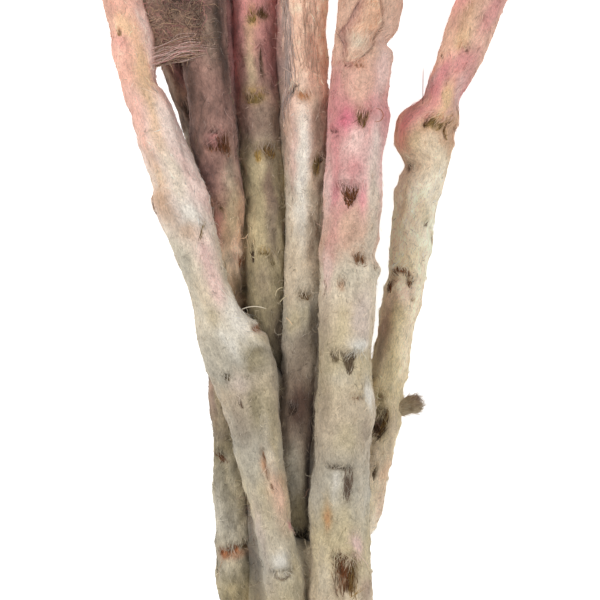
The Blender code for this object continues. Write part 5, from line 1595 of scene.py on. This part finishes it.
def paper_ribs_group():
    """Veins of a dry bract: noise drawn out far along it, in a fine and a coarse size, with a pale
    speckle."""
    group, start, end = new_group(
        "paper_ribs",
        [("Color", "NodeSocketColor", (0.8, 0.5, 0.5, 1.0)), ("Grain", "NodeSocketVector", None)],
        [("Color", "NodeSocketColor"), ("Height", "NodeSocketFloat")],
    )
    nodes, links = group.nodes, group.links
    fine = stretched_noise(nodes, links, start.outputs["Grain"], (9.0, 1.0, 0.18), 2.0)
    coarse = stretched_noise(nodes, links, start.outputs["Grain"], (3.2, 1.0, 0.3), 2.0)
    height = math_node(nodes, links, "MULTIPLY", math_node(nodes, links, "ADD", fine, coarse), 0.5)
    tone = math_node(nodes, links, "ADD", math_node(nodes, links, "MULTIPLY", height, 1.1), 0.45)
    links.new(toned(nodes, links, start.outputs["Color"], tone), end.inputs["Color"])
    links.new(height, end.inputs["Height"])
    return group


paper_ribs = paper_ribs_group()
bract_paper = fibrous_material("bract_paper", paper_ribs, 0.8, 0.15, 0.5, 0.35)[0]


def head_axis(name):
    last = neck_y(name)
    lean = float(across(name, last) - across(name, last - 1.0))
    return Vector((lean, 1.0, math.tan(math.radians(STEMS[name]["rise"])))).normalized()


def head_matrix(name):
    return frame_at(Vector(middle_line(name, neck_y(name))), head_axis(name))


def bract_pieces(name, ring, jitter, step, matrix, cup):
    """One ring of bracts, each with its own small turn, rise and length, cupped inward and waved at the
    edge."""
    number, root_radius, root_height, length, width, rise, bend = ring
    start = int(name[-1]) + step * 0.5 * math.tau / number
    tint = linear(*BRACT_DYES[int(name[-1]) % 3])
    pieces = []
    for i in range(number):
        turn = start + (i + jitter.uniform(-0.08, 0.08)) * math.tau / number
        lean = Matrix.Rotation(math.radians(rise + jitter.uniform(-4.0, 4.0)), 4, "X")
        long = length * jitter.uniform(0.93, 1.04)
        place = (
            matrix @ Matrix.Rotation(turn, 4, "Z")
            @ Matrix.Translation((0.0, root_radius, root_height)) @ lean
        )
        wave = 0.10 * math.sin(2.4 * i + step)
        rings, s, u = blade_rings(long, width, 0.34, bend, BRACT_OUTLINE, 0.0, cup, 16, 12, wave)
        rings[..., 2] += 0.22 + 0.07 * np.cos(u * 11.0) * (1 - s)
        cloud = smooth_noise(rings / 2.4 + 9.0 * i, 17 + step)[..., None]
        deep = np.clip(s[..., None] * 1.3 - 0.15 + 0.35 * cloud, 0.0, 1.0)
        colour = (DYES["cream"] * 0.5 + tint * 0.5) * (1 - deep) + tint * deep
        tip = np.clip((s[..., None] - 0.9) / 0.1, 0.0, 1.0)
        colour = colour * (1 - 0.45 * tip) + DYES["tan"] * 0.25 * tip
        colour = colour * (1.0 - 0.12 * u[..., None] ** 2 + 0.10 * cloud)
        grain = np.stack(np.broadcast_arrays(0.5 * width * u, 1.7 * i + 7.0 * step, long * s), axis=-1)
        pieces.append((moved(place, rings), colour, grain))
    return pieces


def turned_piece(profile, around, lobes, relief):
    """Rings of a turned shape from its profile of (radius, height), its radius swelled by lobes round
    it."""
    turn = np.arange(around) * math.tau / around
    r = profile[:, :1] * (1.0 + relief * np.cos(lobes * turn)[None, :])
    return np.stack(
        [r * np.cos(turn), r * np.sin(turn), np.broadcast_to(profile[:, 1:], r.shape)], axis=-1
    ), turn


def make_cup(name, matrix):
    """Woolly cup under the bracts, with three rings of small lapped scales on it."""
    t = np.linspace(0.0, 1.0, 22)
    edge = np.sqrt(np.clip(1 - (2 * t - 1) ** 8, 0.0, 1.0)) * 0.1 + 0.9
    profile = np.stack([(2.6 + 3.6 * t**0.9) * edge, 0.3 + 5.4 * t], axis=-1)
    rings, turn = turned_piece(profile, 48, 0, 0.0)
    bump = 0.16 * smooth_noise(rings / 1.3, 31) + 0.09 * smooth_noise(rings / 0.6, 32)
    rings = rings + unit(rings * np.array([1.0, 1.0, 0.0])) * bump[..., None]
    colour = DYES["dusty"] * 0.5 + DYES["cream"] * 0.5 * (
        1.0 + 0.3 * smooth_noise(rings / 1.0, 33)[..., None]
    )
    grain = np.stack(
        np.broadcast_arrays(4 * np.cos(turn)[None], 4 * np.sin(turn)[None], 8.0 * t[:, None]), axis=-1
    )
    cup = (moved(matrix, rings), colour, grain)
    draw = np.random.default_rng(int(name[-1]) + 60)
    scales = []
    for row, (number, root, height, long) in enumerate(
        ((9, 2.5, 0.8, 3.2), (11, 3.4, 2.0, 3.4), (12, 4.4, 3.2, 3.4))
    ):
        for i in range(number):
            place = matrix @ Matrix.Rotation(
                (i + 0.5 * row + draw.uniform(-0.1, 0.1)) * math.tau / number, 4, "Z"
            )
            place = (
                place @ Matrix.Translation((0.0, root, height))
                @ Matrix.Rotation(math.radians(52 + 3 * row), 4, "X")
            )
            scale, s, u = blade_rings(long, 2.1, 0.3, 10.0, (0.7, 1.0, 0.7, 0.0), 0.0, -0.2, 8, 8, 0.0)
            scale[..., 2] -= 0.3
            tone = DYES["dusty"] * (1 - s[..., None]) + DYES["tan"] * s[..., None] + 0 * u[..., None]
            mesh_grain = np.stack(np.broadcast_arrays(u, 1.3 * i + row, long * s), axis=-1)
            scales.append((moved(place, scale), tone * draw.uniform(0.8, 1.15), mesh_grain))
    return cup, scales


def make_head(name):
    number = int(name[-1])
    jitter = random.Random(number)
    matrix = head_matrix(name)
    pieces = []
    for step, (ring, cup) in enumerate(((OUTER_BRACTS, 0.28), (MIDDLE_BRACTS, 0.34), (INNER_BRACTS, 0.4))):
        pieces += bract_pieces(name, ring, jitter, step, matrix, cup)
    cup, scales = make_cup(name, matrix)
    bracts = join_rings(f"head_{number}_bracts", pieces + scales, bract_paper)
    join_rings(f"head_{number}_cup", [cup], stem_felt)
    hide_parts(f"head_{number}")


for stem_name in OPEN_STEMS:
    make_head(stem_name)

# Discs of florets. In the middle of each open head a low dark dome of over a hundred tube florets, packed
# in a spiral as they grew, with dusty golden mouths. The dye hardly shows on them.
DISC_RADIUS, DISC_HEIGHT, DISC_SEAT = 4.1, 3.2, 6.0
FLORETS = 130


def make_disc(name):
    """Dome, and florets at golden-angle steps over it: each a small closed tube that widens to a mouth,
    standing square to the dome."""
    number = int(name[-1])
    matrix = head_matrix(name)
    draw = np.random.default_rng(number + 70)
    t = np.linspace(0.0, 1.0, 14)
    profile = np.stack([3.7 * np.cos(t * 1.52), DISC_SEAT + 2.75 * np.sin(t * 1.52)], axis=-1)
    rings, turn = turned_piece(profile, 40, 7, 0.03)
    dome_colour = np.broadcast_to(DYES["soot"] * 0.8, rings.shape)
    pieces = [(moved(matrix, rings), dome_colour, rings * 2.0)]
    mouth = np.array([(0.22, -0.3), (0.25, 0.15), (0.36, 0.46), (0.14, 0.38)])
    for i in range(FLORETS):
        polar = math.acos(1.0 - (i + 0.5) / FLORETS)
        spin = i * math.radians(137.508)
        dome = Vector((
            3.7 * math.sin(polar) * math.cos(spin), 3.7 * math.sin(polar) * math.sin(spin),
            DISC_SEAT + 2.7 * math.cos(polar),
        ))
        normal = Vector((
            math.sin(polar) * math.cos(spin), math.sin(polar) * math.sin(spin), 1.3 * math.cos(polar) + 0.08,
        )).normalized()
        size = draw.uniform(0.85, 1.1)
        floret, _ = turned_piece(mouth * size, 5, 5, 0.12)
        share = np.array([0.0, 0.1, 1.0, 0.1])[:, None, None] * draw.uniform(0.3, 1.0)
        colour = (DYES["umber"] * 0.55) * (1 - share) + (DYES["gold"] * 0.8 + DYES["rust"] * 0.2) * share
        colour = np.broadcast_to(colour, floret.shape)
        pieces.append((moved(matrix @ frame_at(dome, normal, spin), floret), colour, floret * 3.0 + i))
    disc = join_rings(f"disc_{number}_florets", pieces, floret_skin)
    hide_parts(f"disc_{number}")


floret_skin = fibrous_material("floret_skin", paper_ribs, 0.5, 0.15, 0.8, 0.35)[0]
for stem_name in OPEN_STEMS:
    make_disc(stem_name)

# Closed buds. Two heads never opened: an egg of bracts lapped up tight over each other, woolly at the foot
# and papery at the tip, which grew from the neck as the open heads did.
BUD_LOW_BRACTS, BUD_TOP_BRACTS = (7, 2.4, 2.4, 12.5, 5.0, 50, 44), (6, 3.4, 6.5, 12.5, 4.4, 76, 20)


def make_bud(name):
    number = int(name[-1])
    jitter = random.Random(number)
    matrix = head_matrix(name)
    t = np.linspace(0.03, 0.985, 34)
    profile = np.stack(
        [5.0 * np.sin(t * math.pi), np.maximum(8.5 * (1 - np.cos(t * math.pi)), 0.6) - 0.3], axis=-1
    )
    rings, turn = turned_piece(profile, 44, 0, 0.0)
    pleats = 0.10 * np.cos(9 * turn + 4.0 * t[:, None]) + 0.10 * smooth_noise(rings / 1.2, 51)
    rings = rings + unit(rings * np.array([1.0, 1.0, 0.0])) * (
        pleats * np.sin(t * math.pi)[:, None]
    )[..., None]
    tint = linear(*BRACT_DYES[number % 3])
    share = t[:, None, None]
    colour = DYES["dusty"] * (1 - share) + tint * share + 0.04 * smooth_noise(rings / 1.0, 52)[..., None]
    grain = np.stack(
        np.broadcast_arrays(4 * np.cos(turn)[None], 4 * np.sin(turn)[None], 17.0 * t[:, None]), axis=-1
    )
    pieces = [(moved(matrix, rings), colour, grain)]
    for step, ring in enumerate((BUD_LOW_BRACTS, BUD_TOP_BRACTS)):
        pieces += bract_pieces(name, ring, jitter, step, matrix, 0.42)
    bud = join_rings(f"bud_{number}_bracts", pieces, bract_paper)
    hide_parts(f"bud_{number}")


for stem_name in BUD_STEMS:
    make_bud(stem_name)

# Cut feet. The stems were cut straight across with shears: a ring of pale wood with a brown rim and a pith
# of soft brown in the middle of the wool. The wood runs the length of the stem and shows only here.
FOOT_SHOWS = 1.2


def make_feet():
    """Plug of wood at each foot: a short round with fine splits at the cut, its colour by distance from the
    pith."""
    pieces = []
    for name in STEMS:
        low = foot_y(name)
        wood = 0.62 * float(radius(name, low))
        profile = np.array([
            (0.04, 0), (0.2, 0.0), (0.4, 0.0), (0.6, 0.0), (0.8, 0.0), (0.95, 0.03), (1.0, 0.15), (1.0, 1.0),
            (1.0, 2.6),
        ])
        shape = np.stack([profile[:, 0] * wood, profile[:, 1] * FOOT_SHOWS], axis=-1)
        rings, turn = turned_piece(shape, 48, 0, 0.0)
        rough = smooth_noise(rings * 2.2, 61)
        rings[..., 2] += np.where(profile[:, :1] < 1.1, 0.12, 0.0) * rough * (profile[:, 1:] < 0.1)
        spread = profile[:, 0][:, None, None]
        year = 0.5 + 0.5 * np.cos(spread * 26.0 + 0.6 * rough[..., None])
        colour = DYES["straw"] * (0.65 + 0.35 * year)
        pith = np.exp(-((spread / 0.18) ** 2))
        rim = np.clip((spread - 0.9) / 0.1, 0.0, 1.0)
        colour = colour * (1 - pith) * (1 - rim) + DYES["bark"] * pith + DYES["umber"] * rim * (1 - pith)
        colour = np.clip(colour * (1.0 + 0.25 * rough[..., None]), 0, 1)
        matrix = frame_at(Vector(middle_line(name, low)), stem_axis(name, low + 1.0))
        pieces.append((
            moved(matrix, rings)[:, ::-1][::-1], colour[:, ::-1][::-1], (rings * 2.0)[:, ::-1][::-1],
        ))
    join_rings("cut_feet", pieces, foot_wood)


foot_wood = felt_material("foot_wood", 0.35, 0.4, 0.7, 0.0)
make_feet()

# Twine. Three-ply natural cord, wound four times round the bundle just below the photographed stretch,
# knotted on top and cut short. It is drawn tight into the wool and holds the bunch together.
TWINE_RADIUS, TWINE_PITCH, TWINE_PLY_TURN, TWINE_STATIONS = 0.95, 1.5, 5.2, 760
TWINE_END = [(0.6, 0.0, 0.6), (2.2, -0.6, 1.8), (4.0, -2.0, 2.4), (6.5, -5.0, 2.2)]


def three_ply(path, radii, reference, start):
    """Rings of a three-ply cord: a round section with three lobes, which turns along the path."""
    around = 18
    along, side, up = sweep_frames(path, reference)
    step = np.linalg.norm(np.gradient(path, axis=0), axis=-1)
    length = np.cumsum(step)
    turn = np.arange(around) * math.tau / around
    phase = 3.0 * (turn[None, :] - math.tau * length[:, None] / (3.0 * TWINE_PLY_TURN) - start)
    lobe = 0.70 + 0.30 * np.abs(np.cos(phase / 2.0)) ** 0.8
    reach = np.asarray(radii)[:, None] * lobe
    out = np.cos(turn)[None, :, None] * side[:, None] + np.sin(turn)[None, :, None] * up[:, None]
    rings = path[:, None] + reach[..., None] * out
    rings = rings + out * (0.05 * smooth_noise(rings / 0.35, 71))[..., None]
    rings[..., 2] = np.maximum(rings[..., 2], 0.06)
    shade = (lobe[..., None] - 0.70) / 0.30
    colour = linear(150, 118, 78) * (0.45 + 0.65 * shade) * (
        1.0 + 0.25 * smooth_noise(rings / 0.5, 72)[..., None]
    )
    grain = np.stack(
        [6.0 * np.cos(phase), 6.0 * np.sin(phase), np.broadcast_to(1.5 * length[:, None], phase.shape)],
        axis=-1,
    )
    return rings, colour, grain


def tie_loop():
    """Outline round the stems at the tie: each direction's furthest support among the stems' circles."""
    circles = []
    for name in STEMS:
        x, _, z = middle_line(name, TIE_Y)
        circles.append((float(x), float(z), float(radius(name, TIE_Y)) * 1.04 + GAP + 1.0))
    corners = []
    for i in range(18):
        angle = math.tau * (i + 0.5) / 18
        nx, nz = math.cos(angle), math.sin(angle)
        x, z, r = max(circles, key=lambda c: c[0] * nx + c[1] * nz + c[2])
        corners.append((x + r * nx, z + r * nz))
    return np.array(corners)


def make_tie():
    draw = np.random.default_rng(81)
    corners = tie_loop()
    top = corners[np.argmax(corners[:, 1])]
    first = int(np.argmax(corners[:, 1]))
    order = np.roll(corners, -first, axis=0)
    laps = np.concatenate([order] * 4 + [order[:1]])
    place = np.concatenate([[0.0], np.cumsum(np.linalg.norm(np.diff(laps, axis=0), axis=1))])
    s = np.linspace(0.0, place[-1], TWINE_STATIONS)
    wound = np.stack(
        [
            np.interp(s, place, laps[:, 0]), TIE_Y + (s / place[-1] - 0.5) * 4 * TWINE_PITCH,
            np.interp(s, place, laps[:, 1]),
        ],
        axis=-1,
    )
    smooth = np.stack(
        [np.convolve(np.pad(wound[:, c], 7, mode="edge"), np.ones(15) / 15, mode="valid") for c in range(3)],
        axis=-1,
    )
    pieces = [three_ply(smooth, np.full(TWINE_STATIONS, TWINE_RADIUS), np.array([0.0, 1.0, 0.0]), 0.0)]
    t = np.linspace(0.0, math.tau * 0.985, 120)
    knot = np.stack(
        [
            0.62 * (np.sin(t) + 2 * np.sin(2 * t)), 0.70 * (np.cos(t) - 2 * np.cos(2 * t)),
            -0.75 * np.sin(3 * t),
        ],
        axis=-1,
    )
    knot = knot + np.array([top[0], TIE_Y, top[1] + 0.9])
    pieces.append(three_ply(knot, np.full(120, 0.8), np.array([0.1, 0.2, 1.0]), 0.4))
    fibres = []
    for side in (-1.0, 1.0):
        keys = np.array([(top[0] + side * x, TIE_Y + y, top[1] + z) for x, y, z in TWINE_END])
        u = np.linspace(0.0, 3.0, 60)
        path = np.stack([curve_through(list(enumerate(keys[:, c])), u) for c in range(3)], axis=-1)
        pieces.append(three_ply(path, 0.85 * np.linspace(1.0, 0.9, 60), np.array([0.0, 0.0, 1.0]), 0.2))
        count = 90
        w = np.linspace(0.0, 1.0, 5)[None, :, None]
        ahead = unit(path[-1] - path[-3])
        start = path[-3] + draw.normal(0.0, 0.35, (count, 1, 3))
        loose = (
            start + ahead * w * draw.uniform(0.6, 1.8, (count, 1, 1))
            + draw.normal(0.0, 0.55, (count, 1, 3)) * w**1.5
        )
        tone = np.clip(linear(176, 146, 104) * draw.uniform(0.5, 1.2, (count, 1)), 0, 1)
        fibres.append(fibre_arrays(
            loose, np.broadcast_to(np.array([0, 0, 1.0]), loose.shape), draw.uniform(0.06, 0.12, count),
            draw.uniform(-1, 1, count), tone,
        ))
    tie = join_rings("tie_twine", pieces, twine_jute)
    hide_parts("tie")
    for rings, colour, _ in pieces:
        fibres.append(
            ring_hairs(rings, colour, draw, int(rings.shape[0] * 1.2), (0.5, 1.8), 0.15, (0.04, 0.08))
        )
    join_fibres("tie_fuzz", fibres, twine_jute)


twine_jute = felt_material("twine_jute", 0.4, 0.6, 0.85, 0.1)
make_tie()
